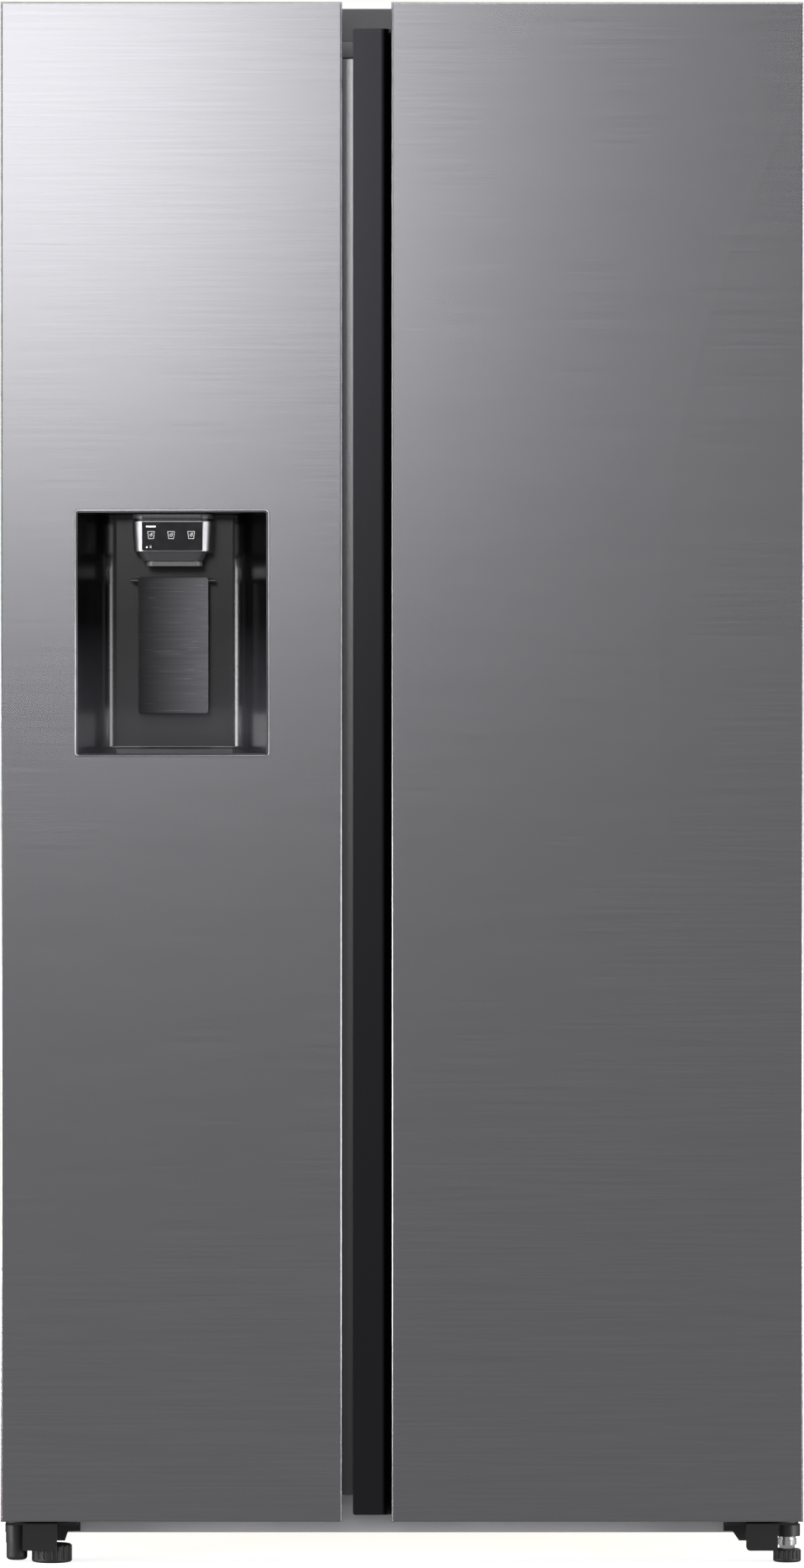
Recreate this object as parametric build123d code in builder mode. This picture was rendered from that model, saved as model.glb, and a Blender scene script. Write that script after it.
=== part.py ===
"""Side by side refrigerator: freezer with a dispenser in its door on the left, fridge on the right.

Millimetres, +Z up, +X to the right seen from the front, doors facing -Y.
The origin is on the floor, under the middle of the appliance.
"""
from build123d import *
import math
import os

# --- overall sizes ---------------------------------------------------------------------------
overall_width = 912.0
overall_depth = 716.0  # door fronts to the back panel
overall_height = 1780.0  # floor to the top of the top cover

# --- case ------------------------------------------------------------------------------------
door_zone = 106.0  # door fronts to the face of the case
top_cover_height = 36.0
case_sheet = 1.0
side_wall = 55.0  # case outside to liner outside
top_wall = 46.0
back_wall = 56.0
liner_wall = 2.0
rail_bottom = 27.0
rail_top = 70.7
floor_wall = 25.3  # rail top to the liners' outside
rail_depth = 22.0  # front to back, of the bottom rail
mullion_width = 64.0
mullion_top_gap = 22.0  # case top to the end of the mullion plate
plate = 2.0  # mullion plate, machine cover
cover_depth = 120.0  # top cover on the case, front to back
cover_side_gap = 4.0
cover_skin = 2.5
cover_nose_radius = 15.0  # over each upper hinge pin
cover_nose_width = 26.0

# --- machine compartment ---------------------------------------------------------------------
machine_depth = 168.0
machine_height = 240.0
machine_wall = 40.0  # foam between the compartment and the liners
step_wall = 50.0  # compartment top to the liners' step
base_sheet = 3.0

# --- doors -----------------------------------------------------------------------------------
freezer_panel_width = 388.0
panel_depth = 20.0
panel_sheet = 1.2
panel_round = 2.4
seal_depth = 14.0  # back of a door's foam core to the face of the case
wrap_gap = 4.0  # back edge of a front panel's side to the back of the core
panel_bottom = 50.0
panel_top_drop = 4.0  # below the top of the top cover
body_bottom = 54.0
body_over_case = 6.0  # door body top above the case top
door_gap = 12.0  # between the two door bodies
grip_width = 44.0  # strip of the fridge door's grip that shows beside its panel
grip_face = 40.0  # door front to the grip's outer strip
grip_bottom = 62.0  # door front to the bottom of both grips
grip_reach = 28.0  # how far a grip runs behind its panel
grip_wall = 3.0
strip_width = 13.0  # flat part of the fridge door's grip
scoop_run = 18.0  # from the flat part down to the bottom of the scoop
scoop_round = 9.0
cap_height = 14.0
door_liner_sheet = 2.0
gasket_gap = 0.3
gasket_width = 20.0
gasket_inset = 33.0  # from the hinge side of the case
gasket_edge = 4.8  # from the free edge of the door body
dyke_gap = 12.0  # dyke to the liner's mouth
dyke_wall = 16.0
dyke_reach = 28.0  # past the face of the case
dyke_corner = 14.0

# --- door hinges -----------------------------------------------------------------------------
pin_inset = 16.0  # from the side of the case
pin_depth = 50.0  # behind the door fronts
pin_radius = 5.0
pin_reach = 16.0  # into a door body
running_gap = 0.06  # radial
bush_radius = 9.0
bush_length = 24.0
hinge_plate = 3.0
lower_plate_top = 46.0
upper_plate_gap = 2.0  # door body to the upper plate
hinge_width = 70.0  # pin to the inboard end of a lower plate
hinge_overhang = 12.0  # pin to the outboard end of a lower plate
hinge_nose = 18.0  # pin to the front of a lower plate
apron_depth = 22.0  # door fronts to the apron in front of the feet
apron_bottom = 15.0
apron_flange = 13.0  # front to back, of the apron's turned side
apron_corner = 4.6
left_apron = (8.0, 47.0)  # from the pin, towards the middle
right_apron = (12.0, 48.0)
gusset_bottom = 18.0
left_gusset = (52.4, 56.0)  # from the pin to its low and its high inboard corner
right_gusset = (52.4, 60.0)
gusset_width = 10.0
knuckle_radius = 12.6
knuckle_collar_radius = 13.3
knuckle_collar_bottom = 34.0
left_knuckle_bottom = 22.0
boot_radius = 12.0
boot_bottom = 2.3
right_knuckle_radius = 15.0
right_knuckle_bottom = 29.5
lower_pin_bottom = 38.0
washer_bottom = 26.4
washer_radius = 9.8
ring_bottom = 19.4
ring_radius = 10.8
lock_nut_radius = 9.0
lock_nut_gap = 0.5  # above the foot's knob
upper_inset = 50.0  # upper pin to the inboard side of its bracket
upper_outset = 8.0
upper_start = 16.0  # face of the case to an upper bracket's foot
upper_end = 90.0
upper_arm = (4.0, 14.0)  # outboard and inboard of the pin
upper_eye_radius = 11.5
screw_radius = 2.5
screw_gap = 0.1  # radial
screw_head_radius = 5.0
screw_head = 2.5

# --- dispenser -------------------------------------------------------------------------------
recess_from_side = 84.3  # hinge side of the freezer door to the recess
recess_width = 221.0
recess_top_drop = 580.4  # top of the top cover to the recess
recess_height = 280.2
recess_foam = 16.0  # back wall of the recess to the back of the core
recess_taper = 30.0  # each side, front to back
recess_floor_rise = 8.0
recess_wall = 3.0
recess_rim = 3.5
recess_lip = 0.4  # rim set back from the door front
recess_round = 4.5
panel_gap = 0.5  # round the rim
head_width = 92.0
head_height = 44.0
head_front = 8.0
head_round = 22.0
spout_width = 66.0
spout_drop = 16.0
paddle_width = 80.0
paddle_height = 154.0
paddle_thick = 5.0
paddle_drop = 14.0  # under the nozzle
paddle_depth = 44.0
paddle_axle_radius = 3.0

# --- feet and rollers ------------------------------------------------------------------------
foot_inset = 56.0  # side of the case to the left foot
left_foot_radius = 23.0
left_foot_height = 20.0
right_foot_radius = 16.0
right_foot_height = 14.6
stud_over_plate = 1.0  # left stud, above its plate
right_stud_top = 36.0
foot_ribs = 20
stud_radius = 4.0
roller_radius = 18.0
roller_width = 22.0
roller_inset = 56.0  # side of the case to a roller's middle
roller_from_back = 60.0
axle_radius = 3.0
side_gap = 1.0  # between a roller or a barrel and the ears beside it

# --- inside ----------------------------------------------------------------------------------
bay_depth = 112.0  # face of the case to shelves and drawers
shelf_thick = 7.0
shelf_frame = 16.0
glass_seat = 5.0
freezer_shelf_count = 3
fridge_shelf_count = 4
first_shelf_gap = 38.5  # above the upper drawer
runner_width = 16.0
runner_height = 5.0
drawer_gap = 3.0
drawer_swing_gap = 8.0  # on the hinge side, clear of the open door
drawer_wall = 3.0
runner_gap = 0.5
freezer_drawer_height = 210.0  # upper drawer
crisper_drawer_height = 170.0  # upper drawer
step_gap = 19.5  # liners' step to the upper drawers
drawer_level_gap = 22.0  # lower drawer to the upper one
drawer_corner = 8.0
lip_depth = 8.0
lip_height = 4.0
lip_drop = 18.0
lip_inset = 60.0
air_panel = 6.0
duct_depth = 70.0  # liner back to the freezer's air panel
fridge_duct_width = 200.0
fridge_duct_depth = 18.0
duct_outlets = 6
bin_reach = 94.0  # face of the case to the back of the door bins
bin_wall = 3.0
bin_height = 105.0
bin_corner = 25.0
bin_side_gap = 9.0
bin_lift = 6.0  # dyke to the lowest bin
freezer_bin_pitch = 250.0
low_freezer_bins = 3
fridge_bins = 5
bucket_lift = 25.0  # above the recess
bucket_height = 250.0
top_bin_gap = 60.0  # bucket to the freezer's top bin

# --- cold circuit ----------------------------------------------------------------------------
compressor_inset = 186.0  # side of the case to the compressor's axis
compressor_radius = 72.0
compressor_height = 150.0
compressor_lift = 12.0
coil_tube = 3.0
coil_pitch = 22.0
fan_radius = 58.0
fan_hub_radius = 18.0
fan_blades = 5
fan_depth = 22.0
coil_rows = 13
grille_spacing = 310.0
grille_pitch = 14.0
grille_slots = 17
grille_slot_width = 6.0
grille_slot_height = 120.0
inlet_inset = 60.0  # side of the case to the power inlet
inlet_lift = 40.0
inlet_radius = 10.0

# --- places that follow ----------------------------------------------------------------------
front_y = -overall_depth / 2
back_y = overall_depth / 2
side_x = overall_width / 2
case_y = front_y + door_zone
case_top = overall_height - top_cover_height
mouth_bottom = rail_top + floor_wall
mouth_top = case_top - top_wall
liner_back = back_y - back_wall
machine_y = back_y - machine_depth
step_y = machine_y - machine_wall
step_z = machine_height + step_wall
body_depth = door_zone - seal_depth
recess_depth = body_depth - recess_foam
mullion_centre = -side_x + freezer_panel_width + door_gap / 2
mullion_low = mullion_centre - mullion_width / 2
mullion_high = mullion_centre + mullion_width / 2
panel_top = overall_height - panel_top_drop
body_top = case_top + body_over_case
pin_y = front_y + pin_depth
pin_x = side_x - pin_inset
upper_plate_z = body_top + upper_plate_gap
bay_y = case_y + bay_depth
roller_x = side_x - roller_inset
left_foot_x = -side_x + foot_inset
compressor_x = side_x - compressor_inset
inlet_x = side_x - inlet_inset
freezer_panel_edge = mullion_centre - door_gap / 2
freezer_body_edge = freezer_panel_edge - panel_sheet
fridge_body_edge = mullion_centre + door_gap / 2
fridge_panel_edge = fridge_body_edge + grip_width
freezer_mouth = (-side_x + side_wall, mullion_low)
fridge_mouth = (mullion_high, side_x - side_wall)
freezer_panel_x = (-side_x, freezer_panel_edge)
fridge_panel_x = (fridge_panel_edge, side_x)
freezer_dyke = (freezer_mouth[0] + dyke_gap, freezer_mouth[1] - dyke_gap)
fridge_dyke = (fridge_mouth[0] + dyke_gap, fridge_mouth[1] - dyke_gap)
air_panel_y = liner_back - duct_depth
bin_y = (front_y + body_depth + door_liner_sheet, case_y + bin_reach)
lowest_bin = mouth_bottom + dyke_gap + dyke_wall + bin_lift
recess_left = -side_x + recess_from_side
recess_bottom = overall_height - recess_top_drop - recess_height
bucket_bottom = recess_bottom + recess_height + bucket_lift
dispenser_x = recess_left + recess_width / 2
head_top = recess_bottom + recess_height - recess_rim
paddle_top = head_top - head_height - spout_drop - paddle_drop

os.makedirs("parts", exist_ok=True)


def depth_plane(depth):
    """Plane facing the front, at a depth behind the door fronts; its x is +X and its y is +Z."""
    return Plane.XZ.offset(overall_depth / 2 - depth)


def block(x_range, y_range, z_range, mode=Mode.ADD):
    """Box between two corners, in the current part."""
    sizes = [high - low for low, high in (x_range, y_range, z_range)]
    middle = [(high + low) / 2 for low, high in (x_range, y_range, z_range)]
    with Locations(tuple(middle)):
        Box(*sizes, mode=mode)


def rod(centre, radius, z_range, mode=Mode.ADD):
    """Upright cylinder at an (x, y) place, in the current part."""
    with Locations((centre[0], centre[1], (z_range[0] + z_range[1]) / 2)):
        Cylinder(radius, z_range[1] - z_range[0], mode=mode)


def cross_rod(x_range, centre, radius, mode=Mode.ADD):
    """Cylinder along X at a (y, z) place, in the current part."""
    with Locations(((x_range[0] + x_range[1]) / 2, centre[0], centre[1])):
        Cylinder(radius, x_range[1] - x_range[0], rotation=(0, 90, 0), mode=mode)


def grown(span, amount):
    """A (low, high) range made wider at both ends."""
    return (span[0] - amount, span[1] + amount)


def save(part, name):
    """Label a finished piece and write it."""
    part.label = name
    export_step(part, f"parts/{name}.step")


# === case ====================================================================================
def liner_volume(mouth, skin, mode=Mode.ADD):
    """Space of a compartment, stepped over the machine compartment, drawn in by a skin."""
    front = case_y if mode == Mode.SUBTRACT else case_y + plate
    low_x, high_x = grown(mouth, -skin)
    points = [
        (front, mouth_bottom + skin),
        (step_y - skin, mouth_bottom + skin),
        (step_y - skin, step_z + skin),
        (liner_back - skin, step_z + skin),
        (liner_back - skin, mouth_top - skin),
        (front, mouth_top - skin),
    ]
    with BuildSketch(Plane.YZ.offset(low_x)) as profile:
        with BuildLine():
            Polyline(points, close=True)
        make_face()
    extrude(profile.sketch, amount=high_x - low_x, mode=mode)


def build_cabinet_shell():
    with BuildPart() as cabinet_shell:
        block((-side_x, side_x), (case_y, back_y), (rail_bottom, case_top))
        block(
            grown((-side_x, side_x), -case_sheet),
            (case_y + case_sheet, back_y),
            (rail_bottom, case_top - case_sheet),
            Mode.SUBTRACT,
        )
        face = (case_y, case_y + case_sheet)
        outer = (-side_x + side_wall - 2, side_x - side_wall + 2)
        block(outer, face, (mouth_bottom - 2, mouth_top + 2), Mode.SUBTRACT)
        block((mullion_low, mullion_high), face, (rail_top, case_top - mullion_top_gap), Mode.SUBTRACT)
        inside = grown((-side_x, side_x), -case_sheet)
        block(inside, face, (rail_bottom, rail_top), Mode.SUBTRACT)
    save(cabinet_shell.part, "cabinet_shell")


def build_cabinet_insulation():
    with BuildPart() as cabinet_insulation:
        block(
            grown((-side_x, side_x), -case_sheet),
            (case_y + plate, back_y - case_sheet),
            (rail_top, case_top - case_sheet),
        )
        for mouth in (freezer_mouth, fridge_mouth):
            liner_volume(mouth, 0, Mode.SUBTRACT)
        block((-side_x, side_x), (machine_y, back_y), (rail_top, machine_height), Mode.SUBTRACT)
    save(cabinet_insulation.part, "cabinet_insulation")


def build_liner(mouth, name):
    """Thin open-fronted liner with a pair of runners under each drawer."""
    with BuildPart() as liner:
        liner_volume(mouth, 0)
        liner_volume(mouth, liner_wall, Mode.SUBTRACT)
        low_x, high_x = grown(mouth, -liner_wall)
        runner_end = step_y - liner_wall
        for level in drawer_floors():
            for run in ((low_x, low_x + runner_width), (high_x - runner_width, high_x)):
                block(run, (bay_y, runner_end), (level - runner_gap - runner_height, level - runner_gap))
    save(liner.part, name)


def build_back_panel():
    with BuildPart() as back_panel:
        inside = grown((-side_x, side_x), -case_sheet)
        block(inside, (back_y - case_sheet, back_y), (machine_height, case_top - case_sheet))
    save(back_panel.part, "back_panel")


def build_mullion_plate():
    with BuildPart() as mullion_plate:
        span = (mullion_low, mullion_high)
        block(span, (case_y, case_y + plate), (rail_top, case_top - mullion_top_gap))
        front_edges = mullion_plate.edges().filter_by(Axis.Z).group_by(Axis.Y)[0]
        fillet(front_edges, plate / 4)
    save(mullion_plate.part, "mullion_plate")


def build_bottom_rail():
    """Deep channel across the front, under the doors."""
    with BuildPart() as bottom_rail:
        span = grown((-side_x, side_x), -case_sheet)
        block(span, (case_y, case_y + rail_depth), (rail_bottom, rail_top))
        channel_y = (case_y + plate, case_y + rail_depth)
        block(span, channel_y, grown((rail_bottom, rail_top), -plate), Mode.SUBTRACT)
        front_edges = bottom_rail.edges().filter_by(Axis.X).group_by(Axis.Y)[0]
        fillet(front_edges, plate * 0.75)
    save(bottom_rail.part, "bottom_rail")


def build_base_frame():
    """Side rails, machine floor, its side cheeks, the fan plate and the rollers' ears."""
    rail_x = side_x - case_sheet
    rail_y = case_y + rail_depth
    rear = back_y - case_sheet - plate
    floor_z = (rail_bottom + base_sheet, rail_bottom + 2 * base_sheet)
    with BuildPart() as base_frame:
        for side in (-1, 1):
            for depth_range, height in (((rail_y, machine_y), rail_top), ((machine_y, rear), machine_height)):
                cheek = sorted((side * rail_x, side * (rail_x - base_sheet)))
                block(cheek, depth_range, (rail_bottom + base_sheet, height))
        block((-rail_x, rail_x), (rail_y, rail_y + base_sheet), (rail_bottom + base_sheet, rail_top))
        block((-rail_x, rail_x), (machine_y - base_sheet, machine_y), (floor_z[0], rail_top))
        block((-rail_x, rail_x), (machine_y - base_sheet, rear), floor_z)
        fan_plate_x = (fan_x() + fan_depth, fan_x() + fan_depth + base_sheet)
        block(fan_plate_x, (machine_y + 8, rear), (floor_z[1], fan_z() + fan_radius + 8))
        cross_rod(grown(fan_plate_x, 1), (fan_y(), fan_z()), fan_radius - 4, Mode.SUBTRACT)
        with BuildSketch(Plane.YZ.offset(fan_plate_x[0])):
            with Locations((fan_y(), fan_z())):
                Rectangle(2 * fan_radius, 8)
                Rectangle(8, 2 * fan_radius)
        extrude(amount=base_sheet)
        for side in (-1, 1):
            middle = side * roller_x
            well = grown((middle, middle), roller_width / 2 + side_gap)
            block(well, grown((roller_y(), roller_y()), roller_radius + 4), floor_z, Mode.SUBTRACT)
            for ear in (grown(well, base_sheet)[0], well[1]):
                ear_x = (ear, ear + base_sheet)
                block(ear_x, grown((roller_y(), roller_y()), 11), (roller_radius - 7, floor_z[1]))
                cross_rod(ear_x, (roller_y(), roller_radius), axle_radius, Mode.SUBTRACT)
    save(base_frame.part, "base_frame")


def roller_y():
    return back_y - roller_from_back


def cover_outline(inset):
    """Plan of the top cover, with a round nose over each hinge."""
    nose_end = case_y + 20
    with Locations((0, case_y + cover_depth / 2)):
        Rectangle(2 * (side_x - cover_side_gap) - 2 * inset, cover_depth - 2 * inset)
    for side in (-1, 1):
        with Locations((side * pin_x, pin_y)):
            Circle(cover_nose_radius - inset)
        with Locations((side * (pin_x - 6), (pin_y + nose_end) / 2)):
            Rectangle(cover_nose_width - 2 * inset, nose_end - pin_y)


def build_top_cover():
    """Moulded cover over the upper hinges and the front of the case, open underneath."""
    under = upper_plate_z - cover_skin + 1
    with BuildPart() as top_cover:
        with BuildSketch(Plane.XY.offset(under)):
            cover_outline(0)
        extrude(amount=overall_height - under)
        top_edges = top_cover.faces().sort_by(Axis.Z)[-1].edges()
        fillet(top_edges, 2)
        with BuildSketch(Plane.XY.offset(under)):
            cover_outline(cover_skin)
        extrude(amount=overall_height - under - cover_skin, mode=Mode.SUBTRACT)
        skirt_x = grown((-side_x, side_x), -cover_side_gap)
        skirt_y = (case_y, case_y + cover_depth)
        block(skirt_x, skirt_y, (case_top, under))
        block(grown(skirt_x, -cover_skin), grown(skirt_y, -cover_skin), (case_top, under), Mode.SUBTRACT)
    save(top_cover.part, "top_cover")


# === hinges ==================================================================================
def upper_screws(side):
    """Places of the screws of one upper hinge."""
    return [(side * (pin_x - 6 - shift), case_y + back) for shift, back in ((0, 40), (34, 40), (17, 78))]


def build_upper_hinge_brackets():
    with BuildPart() as upper_hinge_brackets:
        for side in (-1, 1):
            outline = [
                (upper_arm[0], pin_y),
                (upper_arm[0], case_y + upper_start),
                (upper_outset, case_y + upper_start),
                (upper_outset, case_y + upper_end),
                (-upper_inset, case_y + upper_end),
                (-upper_inset, case_y + upper_start),
                (-upper_arm[1], case_y + 5),
                (-upper_arm[1], pin_y),
            ]
            with BuildSketch(Plane.XY.offset(upper_plate_z)):
                with BuildLine():
                    Polyline([(side * (pin_x + shift), y) for shift, y in outline], close=True)
                make_face()
                with Locations((side * pin_x, pin_y)):
                    Circle(upper_eye_radius)
            extrude(amount=hinge_plate)
            pad = sorted((side * (pin_x + upper_outset), side * (pin_x - upper_inset)))
            block(pad, (case_y + upper_start, case_y + upper_end), (case_top, upper_plate_z))
            for place in upper_screws(side):
                rod(place, screw_radius + screw_gap, (case_top, upper_plate_z + hinge_plate), Mode.SUBTRACT)
            through = grown((upper_plate_z, upper_plate_z + hinge_plate), 1)
            rod((side * pin_x, pin_y), pin_radius, through, Mode.SUBTRACT)
    save(upper_hinge_brackets.part, "upper_hinge_brackets")


def lower_screws(side):
    """Places of the screws that hold one lower hinge to the bottom rail."""
    low, high = rail_bottom + 9, rail_top - 10.7
    return [(side * (pin_x - shift), z) for shift, z in ((8, low), (8, high), (hinge_width - 8, high))]


def lower_plate(side, apron, gusset):
    """Plate under the door's corner, turned up against the bottom rail and down in front of the foot."""
    under = lower_plate_top - hinge_plate
    across = sorted((side * (pin_x + hinge_overhang), side * (pin_x - hinge_width)))
    upstand_y = (case_y - hinge_plate, case_y)
    block(across, (pin_y - hinge_nose, case_y), (under, lower_plate_top))
    block(across, upstand_y, (rail_bottom + 2, rail_top - 4))
    for x, z in lower_screws(side):
        with Locations((x, case_y - hinge_plate / 2, z)):
            Cylinder(screw_radius + screw_gap, hinge_plate, rotation=(90, 0, 0), mode=Mode.SUBTRACT)

    apron_x = sorted((side * (pin_x - apron[0]), side * (pin_x - apron[1])))
    apron_y = (front_y + apron_depth, front_y + apron_depth + hinge_plate)
    block(apron_x, (apron_y[0], pin_y - hinge_nose), (under, lower_plate_top))
    with BuildSketch(depth_plane(apron_depth)) as front:
        with Locations((sum(apron_x) / 2, (apron_bottom + lower_plate_top) / 2)):
            Rectangle(apron_x[1] - apron_x[0], lower_plate_top - apron_bottom)
        inboard = front.vertices().sort_by(lambda vertex: abs(vertex.X) + vertex.Y)[0]
        fillet(inboard, apron_corner)
    extrude(front.sketch, amount=-hinge_plate)
    flange_x = sorted((side * (pin_x - apron[0]), side * (pin_x - apron[0] - hinge_plate)))
    block(flange_x, (apron_y[0], apron_y[0] + apron_flange), (apron_bottom, under))

    low_corner, high_corner = gusset
    tab = [
        (low_corner - gusset_width, rail_bottom + 2),
        (low_corner - gusset_width, gusset_bottom),
        (low_corner, gusset_bottom),
        (high_corner, rail_bottom + 2),
    ]
    with BuildSketch(depth_plane(door_zone - hinge_plate)) as outline:
        with BuildLine():
            Polyline([(side * (pin_x - shift), z) for shift, z in tab], close=True)
        make_face()
    extrude(outline.sketch, amount=-hinge_plate)


def build_lower_hinge_left():
    """Lower hinge of the freezer door: plate, apron and collared knuckle."""
    axis = (-pin_x, pin_y)
    under = lower_plate_top - hinge_plate
    with BuildPart() as lower_hinge_left:
        lower_plate(-1, left_apron, left_gusset)
        rod(axis, knuckle_radius, (left_knuckle_bottom, under))
        rod(axis, knuckle_collar_radius, (knuckle_collar_bottom, under))
        rod(axis, pin_radius, (left_knuckle_bottom, lower_plate_top), Mode.SUBTRACT)
        rod((left_foot_x, pin_y), stud_radius + running_gap, (under, lower_plate_top), Mode.SUBTRACT)
    save(lower_hinge_left.part, "lower_hinge_left")


def build_lower_hinge_right():
    """Lower hinge of the fridge door: its pin and the foot's stud share one knuckle."""
    axis = (pin_x, pin_y)
    with BuildPart() as lower_hinge_right:
        lower_plate(1, right_apron, right_gusset)
        rod(axis, right_knuckle_radius, (right_knuckle_bottom, lower_plate_top - hinge_plate))
        rod(axis, pin_radius, (lower_pin_bottom, lower_plate_top), Mode.SUBTRACT)
        rod(axis, stud_radius + running_gap, (right_knuckle_bottom, lower_pin_bottom), Mode.SUBTRACT)
    save(lower_hinge_right.part, "lower_hinge_right")


def build_hinge_boot():
    """Rounded boot under the left knuckle."""
    with BuildPart() as hinge_boot:
        rod((-pin_x, pin_y), boot_radius, (boot_bottom, left_knuckle_bottom))
        fillet(hinge_boot.edges().group_by(Axis.Z)[0], boot_radius / 3)
    save(hinge_boot.part, "hinge_boot")


def build_hinge_lock_nut():
    """Washer, spacer ring and lock nut on the right foot's stud."""
    axis = (pin_x, pin_y)
    nut_bottom = right_foot_height + lock_nut_gap
    with BuildPart() as hinge_lock_nut:
        rod(axis, washer_radius, (washer_bottom, right_knuckle_bottom))
        rod(axis, ring_radius, (ring_bottom, washer_bottom))
        with BuildSketch(Plane.XY.offset(nut_bottom)):
            with Locations(axis):
                RegularPolygon(lock_nut_radius, 6)
        extrude(amount=ring_bottom - nut_bottom)
        rod(axis, stud_radius + running_gap, (nut_bottom, right_knuckle_bottom), Mode.SUBTRACT)
    save(hinge_lock_nut.part, "hinge_lock_nut")


def build_hinge_pins():
    with BuildPart() as hinge_pins:
        for side, low in ((-1, left_knuckle_bottom + 2), (1, lower_pin_bottom)):
            rod((side * pin_x, pin_y), pin_radius, (low, body_bottom + pin_reach))
            rod((side * pin_x, pin_y), pin_radius, (body_top - pin_reach, upper_plate_z + hinge_plate + 2))
    save(hinge_pins.part, "hinge_pins")


def build_hinge_screws():
    with BuildPart() as hinge_screws:
        top = upper_plate_z + hinge_plate
        for side in (-1, 1):
            for place in upper_screws(side):
                rod(place, screw_radius, (case_top + 0.5, top))
                rod(place, screw_head_radius, (top, top + screw_head))
            for x, z in lower_screws(side):
                with Locations((x, case_y - hinge_plate / 2, z)):
                    Cylinder(screw_radius, hinge_plate, rotation=(90, 0, 0))
                with Locations((x, case_y - hinge_plate - screw_head / 2, z)):
                    Cylinder(screw_head_radius, screw_head, rotation=(90, 0, 0))
    save(hinge_screws.part, "hinge_screws")


# === feet and rollers ========================================================================
def build_foot(name, centre, radius, height, stud_top):
    """Levelling foot: a ribbed knob and its stud."""
    with BuildPart() as knob:
        rod(centre, radius, (0, height))
        fillet(knob.edges().group_by(Axis.Z)[0], 2.5)
        chamfer(knob.edges().group_by(Axis.Z)[-1], 1.5)
        with BuildSketch(Plane.XY.offset(4)):
            with Locations(centre):
                with PolarLocations(radius + 1.2, foot_ribs):
                    Circle(2.4)
        extrude(amount=height, mode=Mode.SUBTRACT)
        rod(centre, stud_radius, (height / 2, height), Mode.SUBTRACT)
    save(knob.part, f"foot_knob_{name}")
    with BuildPart() as stud:
        rod(centre, stud_radius, (height / 2, stud_top))
        chamfer(stud.edges().group_by(Axis.Z)[-1], 0.8)
    save(stud.part, f"foot_stud_{name}")


def build_rear_roller(name, side):
    middle = side * roller_x
    span = grown((middle, middle), roller_width / 2)
    centre = (roller_y(), roller_radius)
    with BuildPart() as roller:
        cross_rod(span, centre, roller_radius)
        rims = roller.edges().filter_by(GeomType.CIRCLE).filter_by(lambda edge: edge.radius == roller_radius)
        fillet(rims, 2.5)
        for end in (span[0], span[1] - 4):
            cross_rod((end, end + 4), centre, roller_radius - 5, Mode.SUBTRACT)
            cross_rod((end, end + 4), centre, axle_radius + 4)
        cross_rod(span, centre, axle_radius + running_gap, Mode.SUBTRACT)
    save(roller.part, name)


def build_roller_axles():
    reach = roller_width / 2 + side_gap + base_sheet + 2
    with BuildPart() as roller_axles:
        for side in (-1, 1):
            span = grown((side * roller_x, side * roller_x), reach)
            cross_rod(span, (roller_y(), roller_radius), axle_radius)
    save(roller_axles.part, "roller_axles")


# === doors ===================================================================================
def freezer_plan():
    """Plan of the freezer door behind its sheet, with the grip's channel cut into its edge."""
    channel = freezer_body_edge - grip_reach
    corners = [
        (-side_x + panel_sheet, panel_sheet),
        (freezer_body_edge, panel_sheet),
        (freezer_body_edge, panel_depth),
        (channel, panel_depth),
        (channel, grip_bottom),
        (freezer_body_edge, grip_bottom),
        (freezer_body_edge, body_depth),
        (-side_x + panel_sheet, body_depth),
    ]
    with BuildSketch() as plan:
        with BuildLine():
            Polyline([(x, front_y + depth) for x, depth in corners], close=True)
        make_face()
    return plan.sketch


def fridge_plan():
    """Plan of the fridge door behind its sheet: a flat strip, then a scoop behind the panel."""
    tray_edge = fridge_panel_edge + panel_sheet
    scoop_end = fridge_panel_edge + grip_reach - grip_wall
    corners = [
        (fridge_body_edge, body_depth),
        (fridge_body_edge, grip_face),
        (fridge_body_edge + strip_width, grip_face),
        (fridge_body_edge + strip_width + scoop_run, grip_bottom),
        (scoop_end, grip_bottom),
        (scoop_end, panel_depth),
        (tray_edge, panel_depth),
        (tray_edge, panel_sheet),
        (side_x - panel_sheet, panel_sheet),
        (side_x - panel_sheet, body_depth),
    ]
    with BuildSketch() as plan:
        with BuildLine():
            Polyline([(x, front_y + depth) for x, depth in corners], close=True)
        make_face()
        outer = plan.vertices().group_by(Axis.X)[0].sort_by(Axis.Y)[0]
        fillet(outer, grip_wall)
        strip = [vertex for vertex in plan.vertices() if abs(vertex.X - corners[2][0]) < 0.01]
        scoop = [vertex for vertex in plan.vertices() if abs(vertex.X - corners[3][0]) < 0.01]
        fillet(strip + scoop, scoop_round)
    return plan.sketch


def grip_zone(hinge_side):
    """X range of a door's grip trim."""
    if hinge_side < 0:
        return (freezer_body_edge - grip_reach - grip_wall, freezer_body_edge)
    return (fridge_body_edge, fridge_panel_edge + grip_reach)


def trim_profile(plan, hinge_side):
    """Cross-section of a grip trim: the skin of the door's plan round its grip."""
    low_x, high_x = grip_zone(hinge_side)
    low_y = front_y + panel_depth - grip_wall
    high_y = front_y + body_depth
    with BuildSketch() as profile:
        add(plan)
        offset(amount=-grip_wall, kind=Kind.INTERSECTION, mode=Mode.SUBTRACT)
        with Locations(((low_x + high_x) / 2, (low_y + high_y) / 2)):
            Rectangle(high_x - low_x, high_y - low_y, mode=Mode.INTERSECT)
    return profile.sketch


def core_profile(plan, hinge_side):
    """Cross-section of a door's foam core: its plan without the grip trim."""
    with BuildSketch() as profile:
        add(plan)
        add(trim_profile(plan, hinge_side), mode=Mode.SUBTRACT)
    return profile.sketch


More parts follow.
